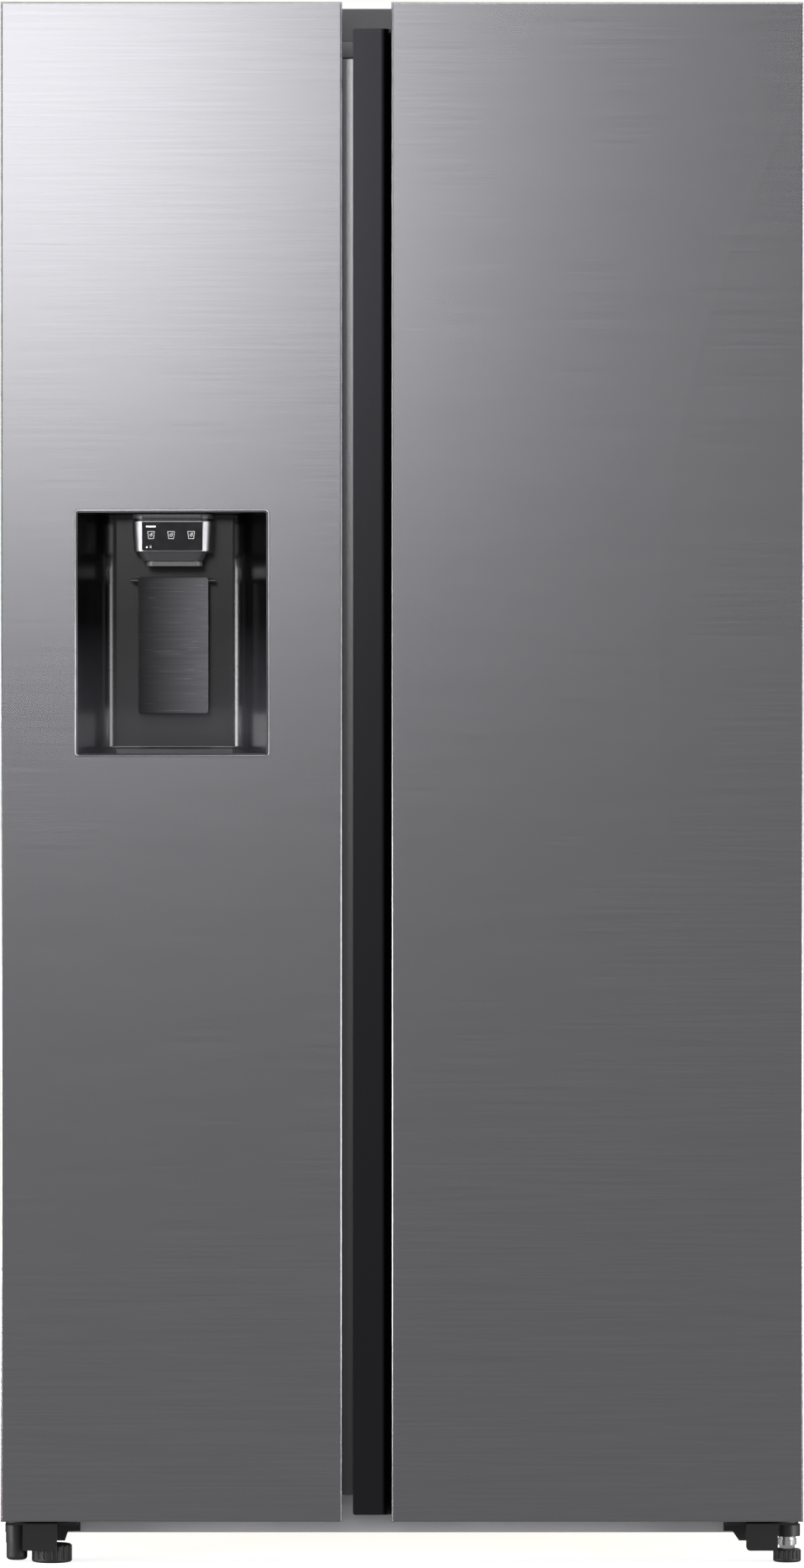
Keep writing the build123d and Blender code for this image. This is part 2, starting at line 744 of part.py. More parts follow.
def build_grip_trim(plan, hinge_side, name):
    with BuildPart() as grip_trim:
        with BuildSketch(Plane.XY.offset(body_bottom)):
            add(trim_profile(plan, hinge_side))
        extrude(amount=body_top - body_bottom)
    save(grip_trim.part, name)


def build_door_core(plan, hinge_side, name):
    with BuildPart() as core:
        with BuildSketch(Plane.XY.offset(body_bottom + cap_height)):
            add(core_profile(plan, hinge_side))
        extrude(amount=body_top - body_bottom - 2 * cap_height)
        for z_range in bush_spans():
            rod((hinge_side * pin_x, pin_y), bush_radius, z_range, Mode.SUBTRACT)
        if hinge_side < 0:
            rim_plate(0, panel_sheet + recess_wall, Mode.SUBTRACT)
            taper_well(recess_wall, panel_sheet + recess_wall, Mode.SUBTRACT)
    save(core.part, name)


def bush_spans():
    """Heights of the lower and upper bush of a door."""
    lower = lower_plate_top + 0.5
    return ((lower, lower + bush_length), (body_top - bush_length, body_top))


def build_door_caps(plan, hinge_side, panel_x, name):
    """Moulded bottom and top ends of a door; the top one also backs the panel's raised edge."""
    tray_x = grown(panel_x, -panel_sheet)
    tray_y = (front_y + panel_sheet, front_y + panel_depth)
    with BuildPart() as caps:
        for low in (body_bottom, body_top - cap_height):
            with BuildSketch(Plane.XY.offset(low)):
                add(core_profile(plan, hinge_side))
            extrude(amount=cap_height)
        block(tray_x, tray_y, (body_top, panel_top - panel_sheet))
        block(tray_x, tray_y, (panel_bottom + panel_sheet, body_bottom))
        for z_range in bush_spans():
            rod((hinge_side * pin_x, pin_y), bush_radius, z_range, Mode.SUBTRACT)
    save(caps.part, name)


def build_door_bushes(hinge_side, name):
    with BuildPart() as bushes:
        for z_range in bush_spans():
            rod((hinge_side * pin_x, pin_y), bush_radius, z_range)
            rod((hinge_side * pin_x, pin_y), pin_radius + running_gap, z_range, Mode.SUBTRACT)
    save(bushes.part, name)


def build_front_panel(panel_x, hinge_side, name):
    """Folded steel front: a shallow tray whose hinge side wraps back round the door."""
    height = (panel_bottom, panel_top)
    with BuildPart() as panel:
        block(panel_x, (front_y, front_y + panel_depth), height)
        fillet(panel.edges().group_by(Axis.Y)[0], panel_round)
        wrap = sorted((hinge_side * side_x, hinge_side * (side_x - panel_sheet)))
        block(wrap, (front_y + panel_depth, front_y + body_depth - wrap_gap), (body_bottom, body_top))
        inner_y = (front_y + panel_sheet, front_y + panel_depth)
        block(grown(panel_x, -panel_sheet), inner_y, grown(height, -panel_sheet), Mode.SUBTRACT)
        if hinge_side < 0:
            with BuildSketch(depth_plane(0)):
                with Locations(recess_middle()):
                    RectangleRounded(recess_width + 2 * panel_gap, recess_height + 2 * panel_gap, 5)
            extrude(amount=-panel_depth / 2, mode=Mode.SUBTRACT)
    save(panel.part, name)


def build_door_liner(mouth, dyke, body_x, name):
    """Inner sheet of a door with the raised dyke that reaches into the compartment."""
    sheet_y = (front_y + body_depth, front_y + body_depth + door_liner_sheet)
    z_dyke = (mouth_bottom + dyke_gap, mouth_top - dyke_gap)
    with BuildPart() as liner:
        block(grown(body_x, -1), sheet_y, grown((body_bottom, body_top), -2))
        block(dyke, (sheet_y[1], case_y + dyke_reach), z_dyke)
        fillet(liner.edges().filter_by(Axis.Y).group_by(SortBy.LENGTH)[-1], dyke_corner)
        inner = grown(z_dyke, -dyke_wall)
        block(grown(dyke, -dyke_wall), (sheet_y[1], case_y + dyke_reach), inner, Mode.SUBTRACT)
        fillet(liner.edges().group_by(Axis.Y)[-1], 3)
    save(liner.part, name)


def build_gasket(outer_x, name):
    """Magnetic seal round a door's liner, just clear of the case."""
    z_range = (mouth_bottom - gasket_width - 2, mouth_top + gasket_width + 2)
    y_range = (front_y + body_depth + door_liner_sheet, case_y - gasket_gap)
    with BuildPart() as gasket:
        block(outer_x, y_range, z_range)
        block(grown(outer_x, -gasket_width), y_range, grown(z_range, -gasket_width), Mode.SUBTRACT)
        fillet(gasket.edges().group_by(Axis.Y)[-1], 2)
    save(gasket.part, name)


def tray(x_range, y_range, z_range, wall, corner):
    """Open-topped tray whose two back corners are rounded, in the current part."""
    middle = ((x_range[0] + x_range[1]) / 2, (y_range[0] + y_range[1]) / 2)
    size = (x_range[1] - x_range[0], y_range[1] - y_range[0])
    with BuildSketch(Plane.XY.offset(z_range[0])) as outline:
        with Locations(middle):
            Rectangle(*size)
        fillet(outline.vertices().group_by(Axis.Y)[-1], corner)
    with BuildSketch(Plane.XY.offset(z_range[0] + wall)) as hollow:
        with Locations(middle):
            Rectangle(size[0] - 2 * wall, size[1] - 2 * wall)
        fillet(hollow.vertices().group_by(Axis.Y)[-1], corner - wall)
    extrude(outline.sketch, amount=z_range[1] - z_range[0])
    extrude(hollow.sketch, amount=z_range[1] - z_range[0], mode=Mode.SUBTRACT)


def bin_range(dyke, hinge_side):
    """X range of a door's bins: against the dyke at the hinge side, clear of it at the other."""
    low, high = grown(dyke, -dyke_wall)
    return (low, high - bin_side_gap) if hinge_side < 0 else (low + bin_side_gap, high)


def freezer_bin_levels():
    """Undersides of the freezer door's bins: some below the recess, one above the ice bucket."""
    low = [lowest_bin + freezer_bin_pitch * step for step in range(low_freezer_bins)]
    return low + [bucket_bottom + bucket_height + top_bin_gap]


def fridge_bin_levels():
    """Undersides of the fridge door's bins, spread evenly up the dyke."""
    pitch = (mouth_top - dyke_gap - dyke_wall - lowest_bin) / fridge_bins
    return [lowest_bin + pitch * step for step in range(fridge_bins)]


def build_door_bins(dyke, hinge_side, levels, name):
    with BuildPart() as bins:
        for level in levels:
            tray(bin_range(dyke, hinge_side), bin_y, (level, level + bin_height), bin_wall, bin_corner)
    save(bins.part, name)


def build_ice_bucket():
    """Lift-out ice bucket on the freezer door, above the dispenser."""
    with BuildPart() as ice_bucket:
        z_range = (bucket_bottom, bucket_bottom + bucket_height)
        tray(bin_range(freezer_dyke, -1), bin_y, z_range, bin_wall, bin_corner)
    save(ice_bucket.part, "ice_bucket")


# === dispenser ===============================================================================
def recess_middle():
    return (recess_left + recess_width / 2, recess_bottom + recess_height / 2)


def rim_plate(start, end, mode):
    """Rounded plate the size of the recess's rim, between two depths."""
    with BuildSketch(depth_plane(start)) as rim:
        with Locations(recess_middle()):
            RectangleRounded(recess_width, recess_height, recess_round)
    extrude(rim.sketch, amount=start - end, mode=mode)


def taper_well(wall, start, mode):
    """Well that narrows towards its back wall, grown by a wall on every side."""
    middle_x, middle_z = recess_middle()
    rim = recess_rim - wall
    with BuildSketch(depth_plane(start)) as mouth:
        with Locations((middle_x, middle_z)):
            Rectangle(recess_width - 2 * rim, recess_height - 2 * rim)
    with BuildSketch(depth_plane(recess_depth + wall)) as back:
        with Locations((middle_x, middle_z + recess_floor_rise / 2)):
            Rectangle(
                recess_width - 2 * recess_taper + 2 * wall,
                recess_height - recess_floor_rise - 2 * recess_rim + 2 * wall,
            )
    loft([mouth.sketch, back.sketch], mode=mode)


def build_dispenser_recess():
    with BuildPart() as dispenser_recess:
        rim_plate(recess_lip, panel_sheet + recess_wall, Mode.ADD)
        taper_well(recess_wall, panel_sheet + recess_wall, Mode.ADD)
        taper_well(0, recess_lip, Mode.SUBTRACT)
        for side in (-1, 1):
            ear = dispenser_x + side * (paddle_width / 2 + 7)
            ear_y = (front_y + paddle_depth - 2, front_y + recess_depth + 1)
            block(grown((ear, ear), 2), ear_y, grown((paddle_axis_z(), paddle_axis_z()), 7))
            cross_rod(
                grown((ear, ear), 2), (paddle_axis_y(), paddle_axis_z()), paddle_axle_radius + running_gap,
                Mode.SUBTRACT,
            )
    save(dispenser_recess.part, "dispenser_recess")


def paddle_axis_y():
    return front_y + paddle_depth + paddle_thick


def paddle_axis_z():
    return paddle_top - 2


def build_dispenser_head():
    """Rounded housing at the top of the recess that carries the touch panel."""
    bottom = head_top - head_height
    with BuildPart() as dispenser_head:
        with BuildSketch(Plane.XY.offset(bottom)) as outline:
            reach = recess_depth - head_front
            with Locations((dispenser_x, front_y + head_front + reach / 2)):
                Rectangle(head_width, reach)
            fillet(outline.vertices().group_by(Axis.Y)[0], head_round)
        extrude(amount=head_height)
        fillet(dispenser_head.faces().sort_by(Axis.Z)[0].edges().filter_by(Axis.X), 3)
    save(dispenser_head.part, "dispenser_head")


def build_dispenser_spout():
    """Tapered nozzle under the head, open through its middle."""
    top = head_top - head_height
    with BuildPart() as dispenser_spout:
        with BuildSketch(Plane.XY.offset(top)):
            with Locations((dispenser_x, front_y + head_front + head_round)):
                RectangleRounded(spout_width + 12, 40, 12)
        with BuildSketch(Plane.XY.offset(top - spout_drop)):
            with Locations((dispenser_x, front_y + head_front + head_round)):
                RectangleRounded(spout_width, 30, 12)
        loft()
        with BuildSketch(Plane.XY.offset(top - spout_drop)):
            with Locations((dispenser_x, front_y + head_front + head_round)):
                RectangleRounded(spout_width - 8, 22, 9)
        extrude(amount=spout_drop - 2, mode=Mode.SUBTRACT)
    save(dispenser_spout.part, "dispenser_spout")


def build_dispenser_paddle():
    """Push plate, hung from an axle along its top edge."""
    with BuildPart() as dispenser_paddle:
        with BuildSketch(depth_plane(paddle_depth)):
            with Locations((dispenser_x, paddle_top - paddle_height / 2)):
                RectangleRounded(paddle_width, paddle_height, 3)
        extrude(amount=-paddle_thick)
        fillet(dispenser_paddle.edges().group_by(Axis.Y)[0], 1)
        span = grown((dispenser_x, dispenser_x), paddle_width / 2 + 8)
        cross_rod(span, (paddle_axis_y(), paddle_axis_z()), paddle_axle_radius)
        inner = grown((dispenser_x, dispenser_x), paddle_width / 2)
        cross_rod(inner, (paddle_axis_y(), paddle_axis_z()), paddle_axle_radius + 1.5)
    save(dispenser_paddle.part, "dispenser_paddle")


# === inside ==================================================================================
def drawer_floors():
    """Undersides of the drawers of a compartment, from the bottom up."""
    lower = mouth_bottom + liner_wall + runner_height + runner_gap
    upper = step_z + liner_wall + step_gap
    return [lower, upper]


def shelf_levels(upper_drawer_height, count):
    """Undersides of the shelves, spread evenly from the upper drawer to the liner's top."""
    first = drawer_floors()[1] + upper_drawer_height + first_shelf_gap
    pitch = (mouth_top - liner_wall - first) / count
    return [first + pitch * step for step in range(count)]


def build_drawers(mouth, hinge_side, upper_height, names):
    """Open-topped drawers with a pull lip; the upper one runs deeper, above the step."""
    inside = grown(mouth, -liner_wall)
    floors = drawer_floors()
    heights = (floors[1] - drawer_level_gap - floors[0], upper_height)
    ends = (step_y - liner_wall - drawer_gap, air_panel_y - 4 * drawer_gap)
    gaps = (drawer_swing_gap, drawer_gap)[::-hinge_side]
    x_range = (inside[0] + gaps[0], inside[1] - gaps[1])
    for floor, height, end, name in zip(floors, heights, ends, names):
        y_range = (bay_y, end)
        z_range = (floor, floor + height)
        with BuildPart() as drawer:
            block(x_range, y_range, z_range)
            fillet(drawer.edges().filter_by(Axis.Z), drawer_corner)
            hollow_z = (floor + drawer_wall, floor + height)
            block(grown(x_range, -drawer_wall), grown(y_range, -drawer_wall), hollow_z, Mode.SUBTRACT)
            lip_top = floor + height - lip_drop
            block(grown(x_range, -lip_inset), (bay_y - lip_depth, bay_y + 1), (lip_top - lip_height, lip_top))
        save(drawer.part, name)


def build_shelves(mouth, levels, back, name):
    """Glass shelves: each a moulded frame and the pane seated in it, as one piece."""
    inside = grown(mouth, -liner_wall)
    with BuildPart() as shelves:
        for level in levels:
            span_y = (bay_y, back)
            block(inside, span_y, (level, level + shelf_thick))
            pane_x = grown(inside, -shelf_frame)
            pane_y = grown(span_y, -shelf_frame)
            block(pane_x, pane_y, (level + shelf_thick - 1, level + shelf_thick), Mode.SUBTRACT)
            block(pane_x, pane_y, (level, level + shelf_thick - 1 - glass_seat), Mode.SUBTRACT)
    save(shelves.part, name)


def build_freezer_air_panel():
    """Panel in front of the evaporator, with slots above and below and a fan opening."""
    inside = grown(freezer_mouth, -liner_wall)
    middle_x = sum(inside) / 2
    with BuildPart() as freezer_air_panel:
        block(inside, (air_panel_y, air_panel_y + air_panel), (step_z + liner_wall, mouth_top - liner_wall))
        for level in (freezer_fan_z() + 130, freezer_fan_z() + 420, step_z + 60):
            for slot_z in (level, level + 20):
                with Locations((middle_x, air_panel_y + air_panel / 2, slot_z)):
                    Box(180, air_panel, 8, mode=Mode.SUBTRACT)
        for blade in range(-4, 5):
            with Locations((middle_x + 10 * blade, air_panel_y + air_panel / 2, freezer_fan_z())):
                Box(5, air_panel, 2 * math.sqrt(45**2 - (10 * blade) ** 2), mode=Mode.SUBTRACT)
    save(freezer_air_panel.part, "freezer_air_panel")


def freezer_fan_z():
    return step_z + 640


def build_evaporator():
    """Finned block behind the freezer's air panel, held by its end plates."""
    middle_x = sum(freezer_mouth) / 2
    low = step_z + 120
    y_range = (air_panel_y + air_panel + 6, liner_back - liner_wall)
    with BuildPart() as evaporator:
        block(grown((middle_x, middle_x), 130), y_range, (low, low + 260))
        for row in range(1, 13):
            level = low + 20 * row
            block(grown((middle_x, middle_x), 124), (y_range[0], y_range[1] - 8), grown((level, level), 7),
                  Mode.SUBTRACT)
        for row in range(1, 13):
            for depth in (14, 34):
                cross_rod(grown((middle_x, middle_x), 126), (y_range[0] + depth, low + 20 * row), 4)
    save(evaporator.part, "evaporator")


def build_fridge_air_panel():
    """Air duct up the back of the fridge compartment, with outlet slots."""
    middle_x = sum(fridge_mouth) / 2
    span = grown((middle_x, middle_x), fridge_duct_width / 2)
    back = liner_back - liner_wall
    with BuildPart() as fridge_air_panel:
        low, high = step_z + 60, mouth_top - 40
        block(span, (back - fridge_duct_depth, back), (low, high))
        fillet(fridge_air_panel.edges().filter_by(Axis.Z).group_by(Axis.Y)[0], 10)
        for level in range(1, duct_outlets + 1):
            slot_z = low + (high - low) * level / (duct_outlets + 1)
            for side in (-1, 1):
                slot_x = grown((middle_x + side * 50, middle_x + side * 50), 32)
                block(slot_x, (back - fridge_duct_depth, back - 8), grown((slot_z, slot_z), 5), Mode.SUBTRACT)
    save(fridge_air_panel.part, "fridge_air_panel")


# === cold circuit ============================================================================
def fan_x():
    return compressor_x - compressor_radius - 110


def fan_y():
    return machine_y + machine_depth / 2


def fan_z():
    return rail_bottom + 2 * base_sheet + fan_radius + 12


def blade_wheel(radius, depth):
    """Hub and pitched blades about +Z at the origin, as a free part."""
    with BuildPart(mode=Mode.PRIVATE) as wheel:
        Cylinder(fan_hub_radius, depth)
        with PolarLocations(fan_hub_radius + (radius - fan_hub_radius) / 2 - 1, fan_blades):
            Box(radius - fan_hub_radius + 2, radius * 0.62, 2, rotation=(24, 0, 0))
        Cylinder(radius, depth, mode=Mode.INTERSECT)
    return wheel.part


def build_condenser_fan():
    place = (fan_x() + fan_depth / 2 - 2, fan_y(), fan_z())
    with BuildPart() as condenser_fan:
        add(Location(place, (0, 90, 0)) * blade_wheel(fan_radius, fan_depth))
    save(condenser_fan.part, "condenser_fan")


def build_freezer_fan():
    place = (sum(freezer_mouth) / 2, air_panel_y + air_panel + 6 + fan_depth / 2, freezer_fan_z())
    with BuildPart() as freezer_fan:
        add(Location(place, (90, 0, 0)) * blade_wheel(fan_radius - 10, fan_depth))
    save(freezer_fan.part, "freezer_fan")


def build_fan_motors():
    """Motor behind each fan wheel, on its bracket."""
    freezer_y = air_panel_y + air_panel + 6 + fan_depth + 1
    with BuildPart() as fan_motors:
        start = fan_x() + fan_depth + base_sheet
        cross_rod((start, start + 30), (fan_y(), fan_z()), 16)
        with Locations((sum(freezer_mouth) / 2, (freezer_y + liner_back - liner_wall) / 2, freezer_fan_z())):
            Cylinder(16, liner_back - liner_wall - freezer_y, rotation=(90, 0, 0))
    save(fan_motors.part, "fan_motors")


def build_compressor():
    """Domed compressor shell on a foot plate and four grommets."""
    centre = (compressor_x, fan_y())
    floor = rail_bottom + 2 * base_sheet
    with BuildPart() as compressor:
        rod(centre, compressor_radius, (floor + compressor_lift + 3, floor + compressor_height))
        fillet(compressor.edges().group_by(Axis.Z)[-1], 42)
        fillet(compressor.edges().group_by(Axis.Z)[0], 18)
        rod(centre, compressor_radius + 2.5, (floor + 62, floor + 68))
        plate_z = (floor + compressor_lift, floor + compressor_lift + 4)
        block(grown((centre[0], centre[0]), 88), grown((centre[1], centre[1]), 48), plate_z)
        with Locations((centre[0], centre[1], floor + compressor_lift / 2)):
            with GridLocations(156, 76, 2, 2):
                Cylinder(9, compressor_lift)
    save(compressor.part, "compressor")


def condenser_x():
    return fan_x() - 60 - coil_pitch * (coil_rows - 1) / 2


def build_condenser():
    """Layers of a folded tube in the machine compartment, held by two end strips."""
    floor = rail_bottom + 2 * base_sheet
    start_x = condenser_x() + coil_pitch * (coil_rows - 1) / 2
    low_y = machine_y + 30
    high_y = back_y - 34
    with BuildPart() as condenser:
        for layer in range(4):
            level = floor + 26 + 30 * layer
            points = []
            for row in range(coil_rows):
                x = start_x - coil_pitch * row
                run = (low_y, high_y) if row % 2 == 0 else (high_y, low_y)
                points += [(x, run[0], level), (x, run[1], level)]
            with BuildLine() as path:
                FilletPolyline(*points, radius=coil_pitch / 2 - 1)
            with BuildSketch(Plane(origin=points[0], z_dir=(0, 1, 0))):
                Circle(coil_tube)
            sweep(path=path.line)
        strip_z = (floor, floor + 26 + 30 * 3 + 8)
        for strip_y in (low_y + 24, high_y - 24):
            strip_x = grown((condenser_x(), condenser_x()), coil_pitch * (coil_rows - 1) / 2 + 8)
            block(strip_x, grown((strip_y, strip_y), 1), strip_z)
    save(condenser.part, "condenser")


def inlet_z():
    return rail_bottom + 2 * base_sheet + 1 + inlet_lift


def build_machine_cover():
    """Slotted cover over the machine compartment."""
    z_range = (rail_bottom + 2 * base_sheet + 1, machine_height)
    inside = grown((-side_x, side_x), -case_sheet - base_sheet)
    with BuildPart() as machine_cover:
        block(inside, (back_y - plate, back_y), z_range)
        for middle in (condenser_x() - grille_spacing / 2, condenser_x() + grille_spacing / 2):
            with Locations((middle, back_y - plate / 2, sum(z_range) / 2)):
                with GridLocations(grille_pitch, 0, grille_slots, 1):
                    Box(grille_slot_width, plate, grille_slot_height, mode=Mode.SUBTRACT)
        with Locations((inlet_x, back_y - plate / 2, inlet_z())):
            Cylinder(inlet_radius, plate, rotation=(90, 0, 0), mode=Mode.SUBTRACT)
    save(machine_cover.part, "machine_cover")


def build_power_inlet():
    """Gland in the machine cover where a supply lead would come out."""
    with BuildPart() as power_inlet:
        with Locations((inlet_x, back_y - 9, inlet_z())):
            Cylinder(inlet_radius, 18, rotation=(90, 0, 0))
        with Locations((inlet_x, back_y - plate - 2, inlet_z())):
            Cylinder(inlet_radius + 4, 4, rotation=(90, 0, 0))
        with Locations((inlet_x, back_y - 9, inlet_z())):
            Cylinder(inlet_radius - 5.5, 18, rotation=(90, 0, 0), mode=Mode.SUBTRACT)
    save(power_inlet.part, "power_inlet")


# === the whole appliance =====================================================================
build_cabinet_shell()
build_cabinet_insulation()
build_liner(freezer_mouth, "freezer_liner")
build_liner(fridge_mouth, "fridge_liner")
build_back_panel()
build_mullion_plate()
build_bottom_rail()
build_base_frame()
build_top_cover()

build_upper_hinge_brackets()
build_lower_hinge_left()
build_lower_hinge_right()
build_hinge_boot()
build_hinge_lock_nut()
build_hinge_pins()
build_hinge_screws()

left_stud_top = lower_plate_top + stud_over_plate
build_foot("left", (left_foot_x, pin_y), left_foot_radius, left_foot_height, left_stud_top)
build_foot("right", (pin_x, pin_y), right_foot_radius, right_foot_height, right_stud_top)
build_rear_roller("rear_roller_left", -1)
build_rear_roller("rear_roller_right", 1)
build_roller_axles()

for door_name, plan, hinge_side, panel_x, mouth, dyke in (
    ("freezer", freezer_plan(), -1, freezer_panel_x, freezer_mouth, freezer_dyke),
    ("fridge", fridge_plan(), 1, fridge_panel_x, fridge_mouth, fridge_dyke),
):
    if hinge_side < 0:
        body_x = (-side_x + panel_sheet, freezer_body_edge)
        gasket_x = (-side_x + gasket_inset, freezer_body_edge - gasket_edge)
        levels = freezer_bin_levels()
    else:
        body_x = (fridge_body_edge, side_x - panel_sheet)
        gasket_x = (fridge_body_edge + gasket_edge, side_x - gasket_inset)
        levels = fridge_bin_levels()
    build_front_panel(panel_x, hinge_side, f"{door_name}_front_panel")
    build_door_core(plan, hinge_side, f"{door_name}_door_core")
    build_grip_trim(plan, hinge_side, f"{door_name}_grip_trim")
    build_door_caps(plan, hinge_side, panel_x, f"{door_name}_door_caps")
    build_door_bushes(hinge_side, f"{door_name}_door_bushes")
    build_door_liner(mouth, dyke, body_x, f"{door_name}_door_liner")
    build_gasket(gasket_x, f"{door_name}_door_gasket")
    build_door_bins(dyke, hinge_side, levels, f"{door_name}_door_bins")

build_ice_bucket()
build_dispenser_recess()
build_dispenser_head()
build_dispenser_spout()
build_dispenser_paddle()

freezer_drawers = ("freezer_drawer_lower", "freezer_drawer_upper")
crisper_drawers = ("crisper_drawer_lower", "crisper_drawer_upper")
build_drawers(freezer_mouth, -1, freezer_drawer_height, freezer_drawers)
build_drawers(fridge_mouth, 1, crisper_drawer_height, crisper_drawers)
freezer_levels = shelf_levels(freezer_drawer_height, freezer_shelf_count)
fridge_levels = shelf_levels(crisper_drawer_height, fridge_shelf_count)
duct_front = liner_back - liner_wall - fridge_duct_depth
build_shelves(freezer_mouth, freezer_levels, air_panel_y - 1, "freezer_shelves")
build_shelves(fridge_mouth, fridge_levels, duct_front, "fridge_shelves")
build_freezer_air_panel()
build_fridge_air_panel()
build_evaporator()

build_compressor()
build_condenser()
build_condenser_fan()
build_freezer_fan()
build_fan_motors()
build_machine_cover()
build_power_inlet()
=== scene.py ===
"""Looks of a side by side refrigerator, built round its CAD frame and laid out as a Blender add-on."""
import math

import bmesh
import bpy
from bpy.props import FloatProperty, FloatVectorProperty, PointerProperty
from mathutils import Matrix, Vector


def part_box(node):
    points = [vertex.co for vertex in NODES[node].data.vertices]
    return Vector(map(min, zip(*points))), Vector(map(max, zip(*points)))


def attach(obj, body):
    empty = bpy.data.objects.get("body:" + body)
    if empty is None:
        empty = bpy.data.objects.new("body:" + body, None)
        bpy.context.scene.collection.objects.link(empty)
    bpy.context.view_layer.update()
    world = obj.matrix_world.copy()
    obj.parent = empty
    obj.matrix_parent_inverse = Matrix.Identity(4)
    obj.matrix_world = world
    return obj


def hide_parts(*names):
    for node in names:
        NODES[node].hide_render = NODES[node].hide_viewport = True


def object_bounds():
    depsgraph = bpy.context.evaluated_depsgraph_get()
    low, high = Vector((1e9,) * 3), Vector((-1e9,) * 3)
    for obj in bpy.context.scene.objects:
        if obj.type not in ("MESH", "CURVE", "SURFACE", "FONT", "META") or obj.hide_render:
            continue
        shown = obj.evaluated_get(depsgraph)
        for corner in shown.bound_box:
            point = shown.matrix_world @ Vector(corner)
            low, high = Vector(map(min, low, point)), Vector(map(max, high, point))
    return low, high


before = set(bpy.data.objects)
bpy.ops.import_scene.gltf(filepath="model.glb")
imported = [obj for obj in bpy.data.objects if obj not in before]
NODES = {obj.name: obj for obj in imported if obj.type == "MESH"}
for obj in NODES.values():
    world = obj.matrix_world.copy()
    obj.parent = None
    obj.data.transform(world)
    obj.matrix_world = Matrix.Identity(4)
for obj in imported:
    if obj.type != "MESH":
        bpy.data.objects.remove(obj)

bl_info = {
    "name": "Side by Side Refrigerator",
    "version": (1, 0, 0),
    "blender": (4, 5, 0),
    "location": "View3D > Sidebar > Refrigerator",
    "description": "Builds the finishes, mouldings and studio of a two-door refrigerator",
    "category": "Object",
}

CAD_BOX = [list(corner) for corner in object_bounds()]
MM = 0.001
UPRIGHT = 2  # index of the Z axis, for edges_along
DISPENSER_LIT = "dispenser_lit"  # collection that the dispenser's own lights fall on
MARK_HEIGHT = 0.12 * MM  # how far a printed mark stands off the touch panel


def span(node):
    """Lowest corner, highest corner and middle of a CAD node."""
    low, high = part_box(node)
    return low, high, (low + high) / 2


# === properties ==============================================================================
def colour(name, description, value):
    return FloatVectorProperty(
        name=name, description=description, default=value, size=3, min=0.0, max=1.0, subtype="COLOR"
    )


def length(name, description, value):
    return FloatProperty(
        name=name, description=description, default=value, min=0.0, subtype="DISTANCE", unit="LENGTH"
    )


def power(name, description, value):
    return FloatProperty(name=name, description=description, default=value, min=0.0, unit="POWER")


class FinishSettings(bpy.types.PropertyGroup):
    """Colours of the refrigerator's finishes."""

    steel: colour("Stainless steel", "Tint of the brushed door fronts", (0.262, 0.260, 0.275))
    case: colour("Case paint", "Textured paint on the case's sides and top", (0.095, 0.096, 0.10))
    rail: colour("Front rails", "Finish of the mullion and the bottom rail", (0.13, 0.13, 0.134))
    trim: colour("Grip trim", "Dark anodised grip mouldings", (0.036, 0.036, 0.040))
    cap: colour("Door caps", "Moulded ends of the doors", (0.0235, 0.0235, 0.025))
    liner: colour("Liners", "Gloss white liners and door liners", (0.82, 0.835, 0.85))
    seal: colour("Gasket", "Door gaskets", (0.30, 0.305, 0.31))
    gloss: colour("Dispenser", "Gloss black of the dispenser recess", (0.0065, 0.0065, 0.0075))
    hinge: colour("Hinges", "Black paint on the lower hinges", (0.010, 0.0095, 0.010))
    zinc: colour("Zinc sheet", "Zinc-coated back panel and base", (0.50, 0.51, 0.50))


class DispenserSettings(bpy.types.PropertyGroup):
    """Sizes of the dispenser's mouldings."""

    skin_edge: length("Skin edge", "Bright edge of the door skin round the recess", 1.0 * MM)
    groove: length("Groove", "Dark groove inside the skin's edge", 1.1 * MM)
    bead: length("Bead", "Raised lip round the recess", 1.0 * MM)
    taper: length("Taper", "How far each side of the recess comes in", 30.2 * MM)
    floor_rise: length("Floor rise", "How far the recess's floor rises to the back", 10.0 * MM)
    wall: length("Wall", "Wall behind the recess", 3.0 * MM)
    corner: length("Back corner", "Radius where the recess's sides meet its back", 15.0 * MM)
    floor_round: length("Floor round", "Radius where the floor meets the walls", 2.0 * MM)
    icon_line: length("Icon line", "Width of the touch panel's icon lines", 0.6 * MM)
    paddle_width: length("Paddle width", "Width of the paddle's plate", 80.0 * MM)
    paddle_hollow: length("Paddle hollow", "How far the plate's middle lies behind its sides", 1.4 * MM)


class StudioSettings(bpy.types.PropertyGroup):
    """Camera and lights."""

    distance: length("Camera distance", "Camera to the door fronts", 8.0)
    height: length("Camera height", "Camera above the floor", 0.888)
    view_height: length("View height", "Height of the view at the door fronts", 1.7802)
    key_power: power("Key light", "High soft box beside the camera", 48.5)
    strip_power: power("Front strips", "Low strips in front, to each side", 58.0)
    strip_angle: FloatProperty(name="Strip angle", description="Degrees from straight ahead", default=38.0)
    head_strip_angle: FloatProperty(
        name="Head strip angle", description="Degrees from straight ahead, at the head", default=76.0
    )
    brow_power: power("Brow light", "Above the dispenser, in front", 12.0)
    low_power: power("Low strips", "Beside the object, near the floor", 55.0)
    side_power: power("Side strips", "Strips level with the door fronts", 40.0)
    top_power: power("Top light", "Soft box above the front", 80.0)
    back_power: power("Back light", "Soft box behind", 90.0)
    world: FloatProperty(name="Room", description="Brightness of the room in front", default=0.36, min=0.0)
    world_behind: FloatProperty(name="Room behind", description="Brightness behind", default=0.24, min=0.0)


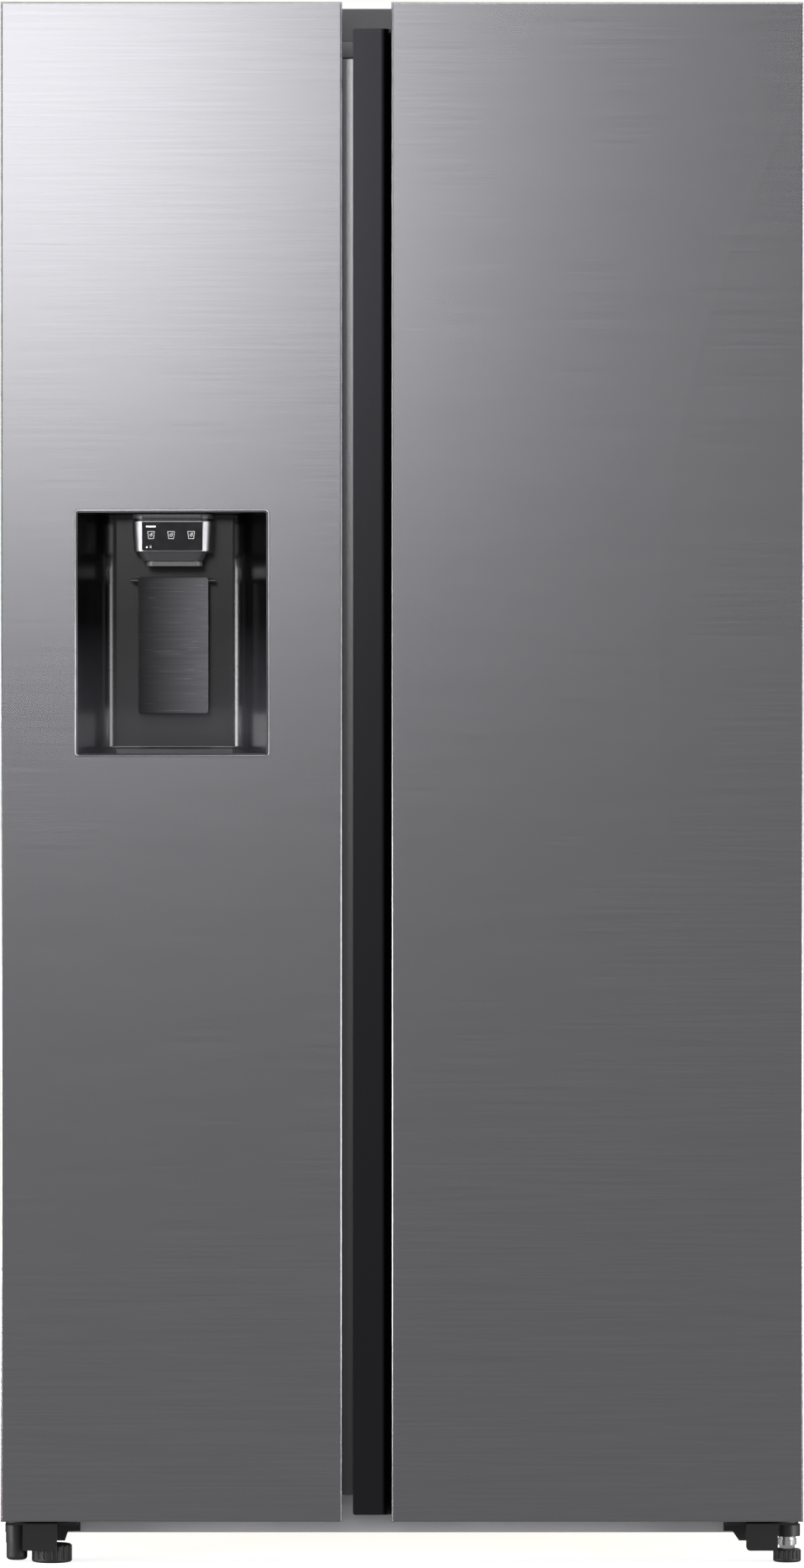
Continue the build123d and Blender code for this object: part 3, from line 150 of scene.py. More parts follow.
# === materials ===============================================================================
def material(name, base, rough=0.5, metal=0.0, **sockets):
    """Principled material with its uniform values set on the shader's own sockets."""
    made = bpy.data.materials.new(name)
    made.use_nodes = True
    shader = made.node_tree.nodes["Principled BSDF"]
    shader.inputs["Base Color"].default_value = (*base, 1.0)
    shader.inputs["Roughness"].default_value = rough
    shader.inputs["Metallic"].default_value = metal
    for socket, value in sockets.items():
        shader.inputs[socket.replace("_", " ")].default_value = value
    return made


def node(made, kind, **inputs):
    """Shader node with its input values set by name."""
    added = made.node_tree.nodes.new(kind)
    for socket, value in inputs.items():
        added.inputs[socket.replace("_", " ")].default_value = value
    return added


def link(made, out_node, out_socket, in_node, in_socket):
    made.node_tree.links.new(out_node.outputs[out_socket], in_node.inputs[in_socket])


def stretched_noise(made, stretch, scale, detail=6.0, rough=0.6):
    """Noise on object coordinates, drawn out by a stretch on each axis."""
    place = node(made, "ShaderNodeTexCoord")
    mapping = node(made, "ShaderNodeMapping", Scale=stretch)
    noise = node(made, "ShaderNodeTexNoise", Scale=scale, Detail=detail, Roughness=rough)
    link(made, place, "Object", mapping, "Vector")
    link(made, mapping, "Vector", noise, "Vector")
    return noise


def spread(made, source, socket, low, high, low_in=0.3, high_in=0.7):
    """Value range remapped onto a shader socket."""
    remap = node(made, "ShaderNodeMapRange")
    remap.inputs["From Min"].default_value = low_in
    remap.inputs["From Max"].default_value = high_in
    remap.inputs["To Min"].default_value = low
    remap.inputs["To Max"].default_value = high
    link(made, source, 0, remap, "Value")
    link(made, remap, "Result", made.node_tree.nodes["Principled BSDF"], socket)


def tint(made, source, dark, light, low_in=0.3, high_in=0.7):
    """Two-colour ramp driven by a pattern, on the base colour."""
    ramp = node(made, "ShaderNodeValToRGB")
    ramp.color_ramp.elements[0].position = low_in
    ramp.color_ramp.elements[0].color = (*dark, 1.0)
    ramp.color_ramp.elements[1].position = high_in
    ramp.color_ramp.elements[1].color = (*light, 1.0)
    link(made, source, 0, ramp, "Fac")
    link(made, ramp, "Color", made.node_tree.nodes["Principled BSDF"], "Base Color")


def relief(made, source, strength, distance):
    """Bump from a pattern."""
    bump = node(made, "ShaderNodeBump", Strength=strength, Distance=distance)
    link(made, source, 0, bump, "Height")
    link(made, bump, "Normal", made.node_tree.nodes["Principled BSDF"], "Normal")


def shade(base, factor):
    return tuple(min(1.0, channel * factor) for channel in base)


def brushed(name, base, rough, contrast=0.06, metal=1.0, along="X"):
    """Metal brushed along one axis: long fine streaks in colour and gloss."""
    made = material(name, base, rough, metal)
    stretch = [1.6 if axis == along else 100.0 for axis in "XYZ"]
    streaks = stretched_noise(made, stretch, 4.0, 3.0, 0.6)
    tint(made, streaks, shade(base, 1 - contrast), shade(base, 1 + contrast), 0.25, 0.75)
    spread(made, streaks, "Roughness", rough - 0.003, rough + 0.003)
    return made


def painted_shading(made, name, axis, low_light, high_light, reach=1.0):
    """Painted light and shade: base colour multiplied by a ramp that runs across a node's box along one
    axis.
    """
    tree = made.node_tree
    colour_socket = tree.nodes["Principled BSDF"].inputs["Base Color"]
    low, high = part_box(name)
    high = low.lerp(high, reach)
    place = node(made, "ShaderNodeTexCoord")
    axes = node(made, "ShaderNodeSeparateXYZ")
    light_ramp = node(made, "ShaderNodeMapRange")
    light_ramp.inputs["From Min"].default_value = low["XYZ".index(axis)]
    light_ramp.inputs["From Max"].default_value = high["XYZ".index(axis)]
    light_ramp.inputs["To Min"].default_value = low_light
    light_ramp.inputs["To Max"].default_value = high_light
    link(made, place, "Object", axes, "Vector")
    link(made, axes, axis, light_ramp, "Value")
    scaled(made, colour_socket.links[0].from_socket, light_ramp.outputs["Result"])
    return made


def scaled(made, colour_output, factor_output):
    """Base colour taken from one socket times a factor from another."""
    tree = made.node_tree
    mix = tree.nodes.new("ShaderNodeVectorMath")
    mix.operation = "SCALE"
    tree.links.new(colour_output, mix.inputs[0])
    tree.links.new(factor_output, mix.inputs["Scale"])
    tree.links.new(mix.outputs[0], tree.nodes["Principled BSDF"].inputs["Base Color"])


def paddle_with_painted_sheen():
    """Dark brushed metal with a few lighter scratches, and a painted sheen: much darker towards one side,
    lighter towards the other.
    """
    made = brushed("paddle_metal_painted_sheen", (0.032, 0.032, 0.0345), 0.34, 0.14, 0.95)
    scratches = stretched_noise(made, (0.9, 60.0, 60.0), 14.0, 2.0, 0.5)
    lines = node(made, "ShaderNodeMapRange")
    lines.inputs["From Min"].default_value = 0.64
    lines.inputs["From Max"].default_value = 0.72
    lines.inputs["To Min"].default_value = 1.0
    lines.inputs["To Max"].default_value = 1.7
    link(made, scratches, 0, lines, "Value")
    brush = made.node_tree.nodes["Principled BSDF"].inputs["Base Color"].links[0].from_socket
    scaled(made, brush, lines.outputs["Result"])
    # Painted sheen: the base colour runs from 0.30 to 3.1 times across the paddle along X.
    return painted_shading(made, "dispenser_paddle", "X", 0.30, 3.1)


def moulded(name, base, rough=0.45, grain=900.0, depth=0.00006, **sockets):
    """Moulded plastic with a fine spark-eroded grain."""
    made = material(name, base, rough, 0.0, **sockets)
    fine = stretched_noise(made, (1.0, 1.0, 1.0), grain, 3.0, 0.5)
    cloud = stretched_noise(made, (1.0, 1.0, 1.0), 9.0, 4.0, 0.55)
    tint(made, cloud, shade(base, 0.93), shade(base, 1.07))
    spread(made, fine, "Roughness", rough - 0.04, rough + 0.05)
    relief(made, fine, 0.35, depth)
    return made


def painted(name, base, rough=0.42, peel=260.0, depth=0.00010, **sockets):
    """Powder-coated sheet with a light orange peel."""
    made = material(name, base, rough, 0.0, **sockets)
    coat = stretched_noise(made, (1.0, 1.0, 1.0), peel, 2.0, 0.4)
    cloud = stretched_noise(made, (1.0, 1.0, 1.0), 3.0, 3.0, 0.5)
    tint(made, cloud, shade(base, 0.96), shade(base, 1.04))
    spread(made, coat, "Roughness", rough - 0.05, rough + 0.05)
    relief(made, coat, 0.30, depth)
    return made


def galvanised(name, base):
    """Zinc-coated sheet with its spangle."""
    made = material(name, base, 0.42, 0.85)
    place = node(made, "ShaderNodeTexCoord")
    cells = node(made, "ShaderNodeTexVoronoi", Scale=95.0)
    link(made, place, "Object", cells, "Vector")
    tint(made, cells, shade(base, 0.86), shade(base, 1.10), 0.0, 0.8)
    spread(made, cells, "Roughness", 0.34, 0.50, 0.0, 0.8)
    return made


def clear(name, base, rough=0.04):
    """Clear glass or plastic with faint waviness."""
    made = material(name, base, rough, 0.0, Transmission_Weight=1.0, IOR=1.46)
    wave = stretched_noise(made, (1.0, 1.0, 1.0), 14.0, 2.0, 0.4)
    spread(made, wave, "Roughness", rough, rough + 0.03)
    relief(made, wave, 0.05, 0.0004)
    return made


def glowing(name, base, strength):
    """Lit mark: an emissive face with a faint mottling."""
    made = material(name, base, 0.4, 0.0, Emission_Strength=strength)
    made.node_tree.nodes["Principled BSDF"].inputs["Emission Color"].default_value = (*base, 1.0)
    mottle = stretched_noise(made, (1.0, 1.0, 1.0), 300.0, 2.0)
    tint(made, mottle, shade(base, 0.9), base)
    return made


def materials():
    """Every finish, by name, from the settings."""
    tints = bpy.context.scene.fridge_finishes
    smooth = {"grain": 600.0, "depth": 0.00001}
    mullion = brushed("mullion_grey", shade(tints.rail, 1.8), rough=0.25, contrast=0.03, along="Z")
    tub = moulded("dispenser_tub_black_painted_shade", shade(tints.gloss, 3.2), rough=0.19, **smooth)
    return {
        "steel": brushed("steel_brushed", tints.steel, rough=0.242),
        "case": painted("case_paint", tints.case, rough=0.40),
        "rail": brushed("rail_grey", shade(tints.rail, 4.1), rough=0.40, contrast=0.03, metal=0.2),
        "strip": moulded("strip_grey", shade(tints.cap, 8.0), rough=0.45),
        "trim": brushed("trim_dark", tints.trim, rough=0.27, contrast=0.03, along="Z"),
        # Painted highlight on the mullion: lighter towards the top, darker towards the bottom.
        "mullion": painted_shading(mullion, "mullion_plate", "Z", low_light=0.65, high_light=1.7),
        "cap": moulded("cap_plastic", tints.cap, rough=0.50),
        "cover": moulded("cover_plastic", shade(tints.cap, 4.6), rough=0.48),
        "liner": moulded("liner_white", tints.liner, rough=0.26, grain=120.0, depth=0.00001),
        "seal": moulded("gasket_vinyl", tints.seal, rough=0.60, grain=500.0),
        "gloss": moulded("dispenser_black", tints.gloss, rough=0.22, **smooth),
        # Painted shade in the recess: lighter at the bottom, dark from a little over half way up, where
        # the header shades it.
        "tub": painted_shading(tub, "dispenser_recess", "Z", low_light=1.7, high_light=0.08, reach=0.55),
        "hinge": painted("hinge_black", tints.hinge, rough=0.40, peel=500.0),
        "foot": moulded("foot_black", shade(tints.hinge, 0.9), rough=0.52, grain=700.0),
        "zinc": galvanised("zinc_sheet", tints.zinc),
        "pin": brushed("pin_steel", (0.62, 0.62, 0.63), rough=0.22, contrast=0.05),
        "nylon": moulded("nylon_white", (0.74, 0.74, 0.72), rough=0.38, grain=500.0),
        "foam": moulded("foam_core", (0.62, 0.52, 0.30), rough=0.9, grain=220.0, depth=0.0006),
        "paddle": paddle_with_painted_sheen(),
        "glass": clear("shelf_glass", (0.86, 0.95, 0.92)),
        "clear": clear("bin_clear", (0.90, 0.94, 0.96), rough=0.10),
        "panel": moulded("panel_white", shade(tints.liner, 0.92), rough=0.35, grain=300.0),
        "fins": brushed("fin_aluminium", (0.70, 0.71, 0.72), rough=0.35, contrast=0.08),
        "compressor": painted(
            "compressor_black", (0.012, 0.012, 0.013), rough=0.22, peel=160.0, depth=0.00012
        ),
        "copper": brushed("tube_copper", (0.72, 0.34, 0.20), rough=0.30, contrast=0.10),
        "fan": moulded("fan_grey", (0.075, 0.078, 0.08), rough=0.45),
        "roller": moulded("roller_grey", (0.06, 0.06, 0.06), rough=0.5),
        "chrome": brushed("head_silver", (0.24, 0.24, 0.25), rough=0.32, contrast=0.02),
        "edge": brushed("skin_edge", (0.55, 0.55, 0.57), rough=0.30, contrast=0.02),
        "lip": moulded("lip_black", (0.03, 0.03, 0.033), rough=0.24, **smooth),
        "skirt": moulded("skirt_grey", (0.026, 0.026, 0.028), rough=0.34, grain=600.0),
        "nozzle": moulded("nozzle_grey", (0.055, 0.055, 0.058), rough=0.40, grain=600.0),
        "screen": moulded("screen_glass", (0.006, 0.006, 0.007), rough=0.06, grain=80.0, depth=0.0),
        "icon": glowing("icon_white", (0.40, 0.40, 0.42), strength=0.22),
        "mark": glowing("mark_white", (0.95, 0.95, 0.97), strength=1.2),
    }


FINISHES = {}
PIECES = []


def finish(key):
    """One of the finishes, made once."""
    if not FINISHES:
        FINISHES.update(materials())
    return FINISHES[key]


def dress(key, *names):
    """Give CAD nodes a finish."""
    for name in names:
        slots = NODES[name].data.materials
        slots.clear()
        slots.append(finish(key))


# === mesh helpers ============================================================================
def piece(name, mesh, key, body, sharp=35.0):
    """Turn a bmesh into a finished piece that rides on a body."""
    data = bpy.data.meshes.new(name)
    mesh.to_mesh(data)
    mesh.free()
    data.materials.append(finish(key))
    data.shade_smooth()
    data.set_sharp_from_angle(angle=math.radians(sharp))
    made = bpy.data.objects.new(name, data)
    bpy.context.scene.collection.objects.link(made)
    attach(made, body)
    PIECES.append(made)
    return made


def even_normals():
    """Keep every piece's broad faces flat beside their rounded edges."""
    for made in PIECES:
        weighted = made.modifiers.new("flat_faces", "WEIGHTED_NORMAL")
        weighted.keep_sharp = True


def add_box(mesh, low, high):
    """Box between two corners; returns its vertices."""
    low, high = Vector(low), Vector(high)
    placing = Matrix.Translation((low + high) / 2) @ Matrix.Diagonal((*(high - low), 1.0))
    return bmesh.ops.create_cube(mesh, size=1.0, matrix=placing)["verts"]


def add_rod(mesh, start, end, radius, segments=32):
    """Closed cylinder between two points."""
    start, end = Vector(start), Vector(end)
    turn = (end - start).to_track_quat("Z", "Y").to_matrix().to_4x4()
    bmesh.ops.create_cone(
        mesh, cap_ends=True, segments=segments, radius1=radius, radius2=radius,
        depth=(end - start).length, matrix=Matrix.Translation((start + end) / 2) @ turn,
    )


def round_edges(mesh, edges, radius, segments=3):
    bmesh.ops.bevel(
        mesh, geom=list(edges), offset=radius, segments=segments, profile=0.5, affect="EDGES",
        material=-1, clamp_overlap=True,
    )


def edges_along(mesh, axis, verts=None):
    """Edges parallel to an axis, of the whole mesh or of some vertices."""
    chosen = set(verts) if verts is not None else None
    found = []
    for edge in mesh.edges:
        if chosen is not None and not (edge.verts[0] in chosen and edge.verts[1] in chosen):
            continue
        run = edge.verts[1].co - edge.verts[0].co
        if run.length > 1e-7 and abs(run.normalized()[axis]) > 0.999:
            found.append(edge)
    return found


def front_uprights(mesh, depth):
    """Upright edges that stand in front of a depth."""
    return [line for line in edges_along(mesh, UPRIGHT) if line.verts[0].co.y < depth]


def rim_edges(mesh, is_level):
    """Edges with a level face on one side only, where is_level tests a face's upward slope."""
    return [line for line in mesh.edges if sum(is_level(face.normal.z) for face in line.link_faces) == 1]


# === operators ===============================================================================
def build_mullion_head():
    """Cover strip between the top cover and the mullion."""
    low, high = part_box("mullion_plate")
    side_room, proud = 8.0 * MM, 1.5 * MM
    bottom = high.z + 1.6 * MM
    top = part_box("top_cover")[0].z - 2.6 * MM
    mesh = bmesh.new()
    rounded_plate(
        mesh, (low.x + side_room, low.y - proud, bottom), (high.x - side_room, low.y, top), 1.2 * MM, 3
    )
    piece("mullion_head", mesh, "strip", "cabinet")


class FRIDGE_OT_case(bpy.types.Operator):
    """Finish the case, its rails, cover, back and base"""

    bl_idname = "fridge.case"
    bl_label = "Case"

    def execute(self, context):
        dress("case", "cabinet_shell")
        dress("foam", "cabinet_insulation")
        dress("mullion", "mullion_plate")
        dress("rail", "bottom_rail")
        build_mullion_head()
        dress("cover", "top_cover")
        dress("zinc", "back_panel", "base_frame", "machine_cover")
        dress("cap", "power_inlet")
        return {"FINISHED"}


def build_grip_moulding():
    """Full-height grip beside the fridge door's front: a flat strip that rolls away behind the panel."""
    low, high, middle = span("fridge_grip_trim")
    panel_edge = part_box("fridge_front_panel")[0].x
    strip_depth, scoop_depth, under_panel = 23.0 * MM, 45.0 * MM, 3.0 * MM
    roll, corner, edge = 15.0 * MM, 2.5 * MM, 1.3 * MM
    roll_start = panel_edge + under_panel - roll

    mesh = bmesh.new()
    strip = add_box(mesh, (low.x, low.y + strip_depth, low.z), (panel_edge + under_panel, high.y, high.z))
    rolled = [
        line for line in edges_along(mesh, UPRIGHT, strip)
        if line.verts[0].co.y < middle.y and line.verts[0].co.x > middle.x
    ]
    round_edges(mesh, rolled, roll, 12)
    outer_corners = [line for line in edges_along(mesh, 1) if line.verts[0].co.x < low.x + 0.01 * MM]
    round_edges(mesh, outer_corners, corner, 5)
    mesh.normal_update()
    front = face_towards(mesh, (0, -1, 0))
    rims = [line for line in front.edges if min(vert.co.x for vert in line.verts) < roll_start - 0.1 * MM]
    round_edges(mesh, rims, edge, 3)

    scoop = add_box(mesh, (panel_edge, low.y + scoop_depth, low.z), high)
    round_edges(mesh, edges_along(mesh, UPRIGHT, scoop), 1.5 * MM, 3)
    moulding = piece("fridge_grip_moulding", mesh, "trim", "fridge_door", 40.0)
    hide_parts("fridge_grip_trim")


class FRIDGE_OT_doors(bpy.types.Operator):
    """Finish the doors: fronts, grips, caps, liners, seals and bushes"""

    bl_idname = "fridge.doors"
    bl_label = "Doors"

    def execute(self, context):
        for door in ("freezer", "fridge"):
            dress("steel", f"{door}_front_panel")
            dress("cap", f"{door}_door_core")
            dress("cap", f"{door}_door_caps")
            dress("liner", f"{door}_door_liner")
            dress("seal", f"{door}_door_gasket")
            dress("nylon", f"{door}_door_bushes")
        dress("trim", "freezer_grip_trim", "fridge_grip_trim")
        build_grip_moulding()
        return {"FINISHED"}


def face_towards(mesh, direction, faces=None):
    """Largest face that points a given way."""
    direction = Vector(direction)
    pointing = [face for face in (faces or mesh.faces) if face.normal.dot(direction) > 0.9]
    return max(pointing, key=lambda face: face.calc_area())


def rounded_plate(mesh, low, high, radius, segments=6):
    """Box with its four edges along Y rounded; returns its front face."""
    verts = add_box(mesh, low, high)
    faces_before = set(mesh.faces) - {face for vert in verts for face in vert.link_faces}
    round_edges(mesh, edges_along(mesh, 1, verts), radius, segments)
    mesh.normal_update()
    return face_towards(mesh, (0, -1, 0), [face for face in mesh.faces if face not in faces_before])


def opening_frame(name, key, body, low, high, radius, width, depth, edge):
    """Rounded frame of one width with softened front edges."""
    mesh = bmesh.new()
    front = rounded_plate(mesh, low, (high[0], low[1] + depth, high[2]), radius)
    rear = face_towards(mesh, (0, 1, 0))
    bmesh.ops.inset_region(mesh, faces=[front], thickness=width, use_even_offset=True)
    bmesh.ops.inset_region(mesh, faces=[rear], thickness=width, use_even_offset=True)
    bmesh.ops.bridge_loops(mesh, edges=list(front.edges) + list(rear.edges))
    bmesh.ops.delete(mesh, geom=[front, rear], context="FACES_ONLY")
    rims = [
        line for line in mesh.edges
        if abs(line.verts[0].co.y - low[1]) < 1e-6 and abs(line.verts[1].co.y - low[1]) < 1e-6
        and len({round(face.normal.y, 2) for face in line.link_faces}) > 1
    ]
    round_edges(mesh, rims, edge, 3)
    bmesh.ops.recalc_face_normals(mesh, faces=mesh.faces)
    return piece(name, mesh, key, body, 40.0)


def outline(mesh, place, size, line, segments, turn=0.0):
    """Thin raised outline of a regular shape on the touch panel."""
    stand = (
        Matrix.Translation(place) @ Matrix.Rotation(math.radians(90.0), 4, "X")
        @ Matrix.Rotation(math.radians(turn), 4, "Z")
    )
    circle = bmesh.ops.create_circle(mesh, cap_ends=True, segments=segments, radius=size, matrix=stand)
    inner = circle["verts"][0].link_faces[0]
    ring = bmesh.ops.inset_region(
        mesh, faces=[inner], thickness=line, use_even_offset=True, use_boundary=True
    )["faces"]
    bmesh.ops.delete(mesh, geom=[inner], context="FACES_ONLY")
    bmesh.ops.solidify(mesh, geom=ring, thickness=MARK_HEIGHT)


def cup_outline(mesh, place, width, height, line):
    """Outline of a tumbler, wider at its mouth."""
    x, y, z = place
    verts = [
        mesh.verts.new((x + dx * width / 2, y, z + dz * height / 2))
        for dx, dz in ((-0.72, -1), (0.72, -1), (1, 1), (-1, 1))
    ]
    inner = bmesh.ops.contextual_create(mesh, geom=verts)["faces"][0]
    ring = bmesh.ops.inset_region(
        mesh, faces=[inner], thickness=line, use_even_offset=True, use_boundary=True
    )["faces"]
    bmesh.ops.delete(mesh, geom=[inner], context="FACES_ONLY")
    bmesh.ops.solidify(mesh, geom=ring, thickness=MARK_HEIGHT)


def build_tub():
    """Moulded recess: tapering sides that turn into the back wall, in a double rim."""
    settings = bpy.context.scene.fridge_dispenser
    low, high, middle = span("dispenser_recess")
    edge, groove, bead = settings.skin_edge, settings.groove, settings.bead
    rim_depth = 3.0 * MM
    opening_frame(
        "dispenser_skin_edge", "edge", "freezer_door",
        (low.x, low.y, low.z), (high.x, low.y, high.z), 4.5 * MM, edge, rim_depth, 0.35 * MM,
    )
    opening_frame(
        "dispenser_rim", "gloss", "freezer_door",
        (low.x + edge, low.y + 1.6 * MM, low.z + edge), (high.x - edge, 0.0, high.z - edge), 3.6 * MM,
        groove + bead, rim_depth, 0.2 * MM,
    )
    lip = edge + groove
    opening_frame(
        "dispenser_lip", "lip", "freezer_door",
        (low.x + lip, low.y + 0.3 * MM, low.z + lip), (high.x - lip, 0.0, high.z - lip), 2.6 * MM,
        bead, rim_depth, 0.4 * MM,
    )

    rim = lip + bead
    front, back = low.y + 2.2 * MM, high.y - settings.wall
    mesh = bmesh.new()
    add_box(mesh, (low.x + rim, front, low.z + rim), (high.x - rim, back, high.z - rim))
    taper, rise = settings.taper - rim, settings.floor_rise - rim
    for vert in mesh.verts:
        if vert.co.y > middle.y:
            side = 1 if vert.co.x > middle.x else -1
            vert.co.x -= side * taper
            if vert.co.z < middle.z:
                vert.co.z += rise
    mesh.normal_update()
    bmesh.ops.delete(mesh, geom=[face_towards(mesh, (0, -1, 0))], context="FACES_ONLY")
    back_corners = [line for line in edges_along(mesh, UPRIGHT) if line.verts[0].co.y > middle.y]
    round_edges(mesh, back_corners, settings.corner, 10)
    mesh.normal_update()
    floor_edges = [line for line in rim_edges(mesh, lambda z: abs(z) > 0.8) if len(line.link_faces) == 2]
    round_edges(mesh, floor_edges, settings.floor_round, 4)
    bmesh.ops.reverse_faces(mesh, faces=mesh.faces)
    tub = piece("dispenser_tub", mesh, "tub", "freezer_door", 40.0)
    shell = tub.modifiers.new("wall", "SOLIDIFY")
    shell.thickness = 1.2 * MM
    shell.offset = -1.0
    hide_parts("dispenser_recess")


def build_head():
    """Head of the dispenser, with a dark touch panel under a separate cap; returns the panel's depth."""
    low, high, middle = span("dispenser_head")
    turn, cap_drop, neck_drop = 14.0 * MM, 6.4 * MM, 8.9 * MM
    face_y = low.y + 0.5 * MM
    housing_top = high.z - neck_drop
    cap_bottom = high.z - cap_drop

    mesh = bmesh.new()
    add_box(mesh, (low.x, face_y, low.z), (high.x, high.y - 1.0 * MM, housing_top))
    round_edges(mesh, front_uprights(mesh, middle.y), turn, 10)
    bottom = [vert for vert in mesh.verts if vert.co.z < middle.z]
    draft = (0.955, 0.985, 1.0)
    bmesh.ops.scale(mesh, vec=draft, verts=bottom, space=Matrix.Translation((-middle.x, -high.y, 0.0)))
    mesh.normal_update()
    near_wall = high.y - 5.0 * MM
    rims = [
        line for line in rim_edges(mesh, lambda z: abs(z) > 0.9)
        if min(vert.co.y for vert in line.verts) < near_wall
    ]
    round_edges(mesh, rims, 0.9 * MM, 3)
    housing = piece("dispenser_head_housing", mesh, "chrome", "freezer_door", 40.0)
    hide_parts("dispenser_head")

    mesh = bmesh.new()
    inset, overlap = 3.0 * MM, 1.0 * MM
    add_box(
        mesh, (low.x + inset, low.y + 4.0 * MM, housing_top - overlap),
        (high.x - inset, high.y, cap_bottom + overlap),
    )
    round_edges(mesh, front_uprights(mesh, middle.y), turn - inset, 8)
    piece("dispenser_head_neck", mesh, "gloss", "freezer_door", 40.0)

    mesh = bmesh.new()
    inset = 0.6 * MM
    add_box(
        mesh, (low.x + inset, low.y + 0.2 * MM, cap_bottom), (high.x - inset, high.y, high.z - 0.3 * MM)
    )
    round_edges(mesh, front_uprights(mesh, middle.y), turn, 10)
    mesh.normal_update()
    round_edges(mesh, rim_edges(mesh, lambda z: z > 0.9), 2.2 * MM, 5)
    mesh.normal_update()
    round_edges(mesh, rim_edges(mesh, lambda z: z < -0.9), 0.8 * MM, 3)
    piece("dispenser_head_cap", mesh, "lip", "freezer_door", 40.0)

    glass_y = face_y - 0.3 * MM
    half_panel = (high.x - low.x - 23.0 * MM) / 2
    mesh = bmesh.new()
    rounded_plate(
        mesh, (middle.x - half_panel, glass_y, low.z + 1.3 * MM),
        (middle.x + half_panel, glass_y + 1.6 * MM, housing_top - 1.5 * MM), 0.6 * MM, 3,
    )
    piece("dispenser_touch_panel", mesh, "screen", "freezer_door", 40.0)
    return glass_y


def build_icons(glass_y):
    """Generic marks on the touch panel: three tumblers, a small padlock, a lit bar and a lit dot."""
    low, _, middle = span("dispenser_head")
    line = bpy.context.scene.fridge_dispenser.icon_line
    y = glass_y - 0.02 * MM
    top_row, low_row = low.z + 18.8 * MM, low.z + 5.0 * MM
    pitch = 22.8 * MM
    left = middle.x - 24.1 * MM
    mesh = bmesh.new()
    for column, sides in enumerate((4, 6, 5)):
        centre = Vector((left + column * pitch, y, top_row))
        cup_outline(mesh, centre, 8.4 * MM, 8.6 * MM, line)
        outline(mesh, centre, 1.9 * MM, line, sides, 90.0)
        outline(mesh, centre + Vector((1.2 * MM, 0, 1.9 * MM)), 1.0 * MM, line * 0.7, sides, 20.0)
    lock = Vector((left - 0.4 * MM, y, low_row))
    outline(mesh, lock, 1.3 * MM, line * 0.8, 4, 45.0)
    outline(mesh, lock + Vector((0, 0, 1.4 * MM)), 0.8 * MM, line * 0.6, 10)
    bmesh.ops.recalc_face_normals(mesh, faces=mesh.faces)
    piece("dispenser_icons", mesh, "icon", "freezer_door", 30.0)

    mesh = bmesh.new()
    near, far = y - 0.1 * MM, y + 0.1 * MM
    bar_x, half_bar = left - 0.2 * MM, 5.5 * MM
    bar_bottom, bar_top = low.z + 27.8 * MM, low.z + 29.2 * MM
    rounded_plate(
        mesh, (bar_x - half_bar, near, bar_bottom), (bar_x + half_bar, far, bar_top), 0.4 * MM, 3
    )
    dot_x = left - 4.8 * MM
    add_rod(mesh, (dot_x, near, low_row), (dot_x, far, low_row), 0.85 * MM)
    piece("dispenser_lamps", mesh, "mark", "freezer_door", 30.0)


def build_spout():
    """Skirt that narrows under the head, with the nozzle below it."""
    low, high, middle = span("dispenser_spout")
    skirt_low, inset = high.z - 10.2 * MM, 0.4 * MM
    mesh = bmesh.new()
    add_box(
        mesh, (low.x + inset, low.y + 1.0 * MM, skirt_low), (high.x - inset, high.y, high.z + inset)
    )
    round_edges(mesh, front_uprights(mesh, middle.y), 11.0 * MM, 8)
    bottom = [vert for vert in mesh.verts if vert.co.z < middle.z]
    draft = (0.875, 0.9, 1.0)
    bmesh.ops.scale(mesh, vec=draft, verts=bottom, space=Matrix.Translation((-middle.x, -high.y, 0.0)))
    skirt = piece("dispenser_skirt", mesh, "skirt", "freezer_door", 40.0)
    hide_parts("dispenser_spout")

    half, wall, hollow = 31.6 * MM, 2.4 * MM, 4.0 * MM
    centre_x = middle.x + 2.0 * MM
    mesh = bmesh.new()
    add_box(
        mesh, (centre_x - half, low.y + 6.0 * MM, low.z),
        (centre_x + half, high.y - 2.0 * MM, skirt_low - 0.8 * MM),
    )
    round_edges(mesh, front_uprights(mesh, middle.y), 8.0 * MM, 8)
    mesh.normal_update()
    mouth = face_towards(mesh, (0, 0, -1))
    bmesh.ops.inset_region(mesh, faces=[mouth], thickness=wall, use_even_offset=True)
    grown = bmesh.ops.extrude_face_region(mesh, geom=[mouth])["geom"]
    inner = next(item for item in grown if isinstance(item, bmesh.types.BMFace))
    bmesh.ops.translate(mesh, verts=inner.verts, vec=(0.0, 0.0, hollow))
    bmesh.ops.recalc_face_normals(mesh, faces=mesh.faces)
    piece("dispenser_nozzle", mesh, "nozzle", "freezer_door", 40.0)

    half_neck, overlap = half - 3.0 * MM, 1.5 * MM
    mesh = bmesh.new()
    add_box(
        mesh, (centre_x - half_neck, low.y + 9.0 * MM, skirt_low - overlap),
        (centre_x + half_neck, high.y - 3.0 * MM, skirt_low + overlap),
    )
    round_edges(mesh, front_uprights(mesh, middle.y), 6.0 * MM, 6)
    piece("dispenser_nozzle_neck", mesh, "gloss", "freezer_door", 40.0)


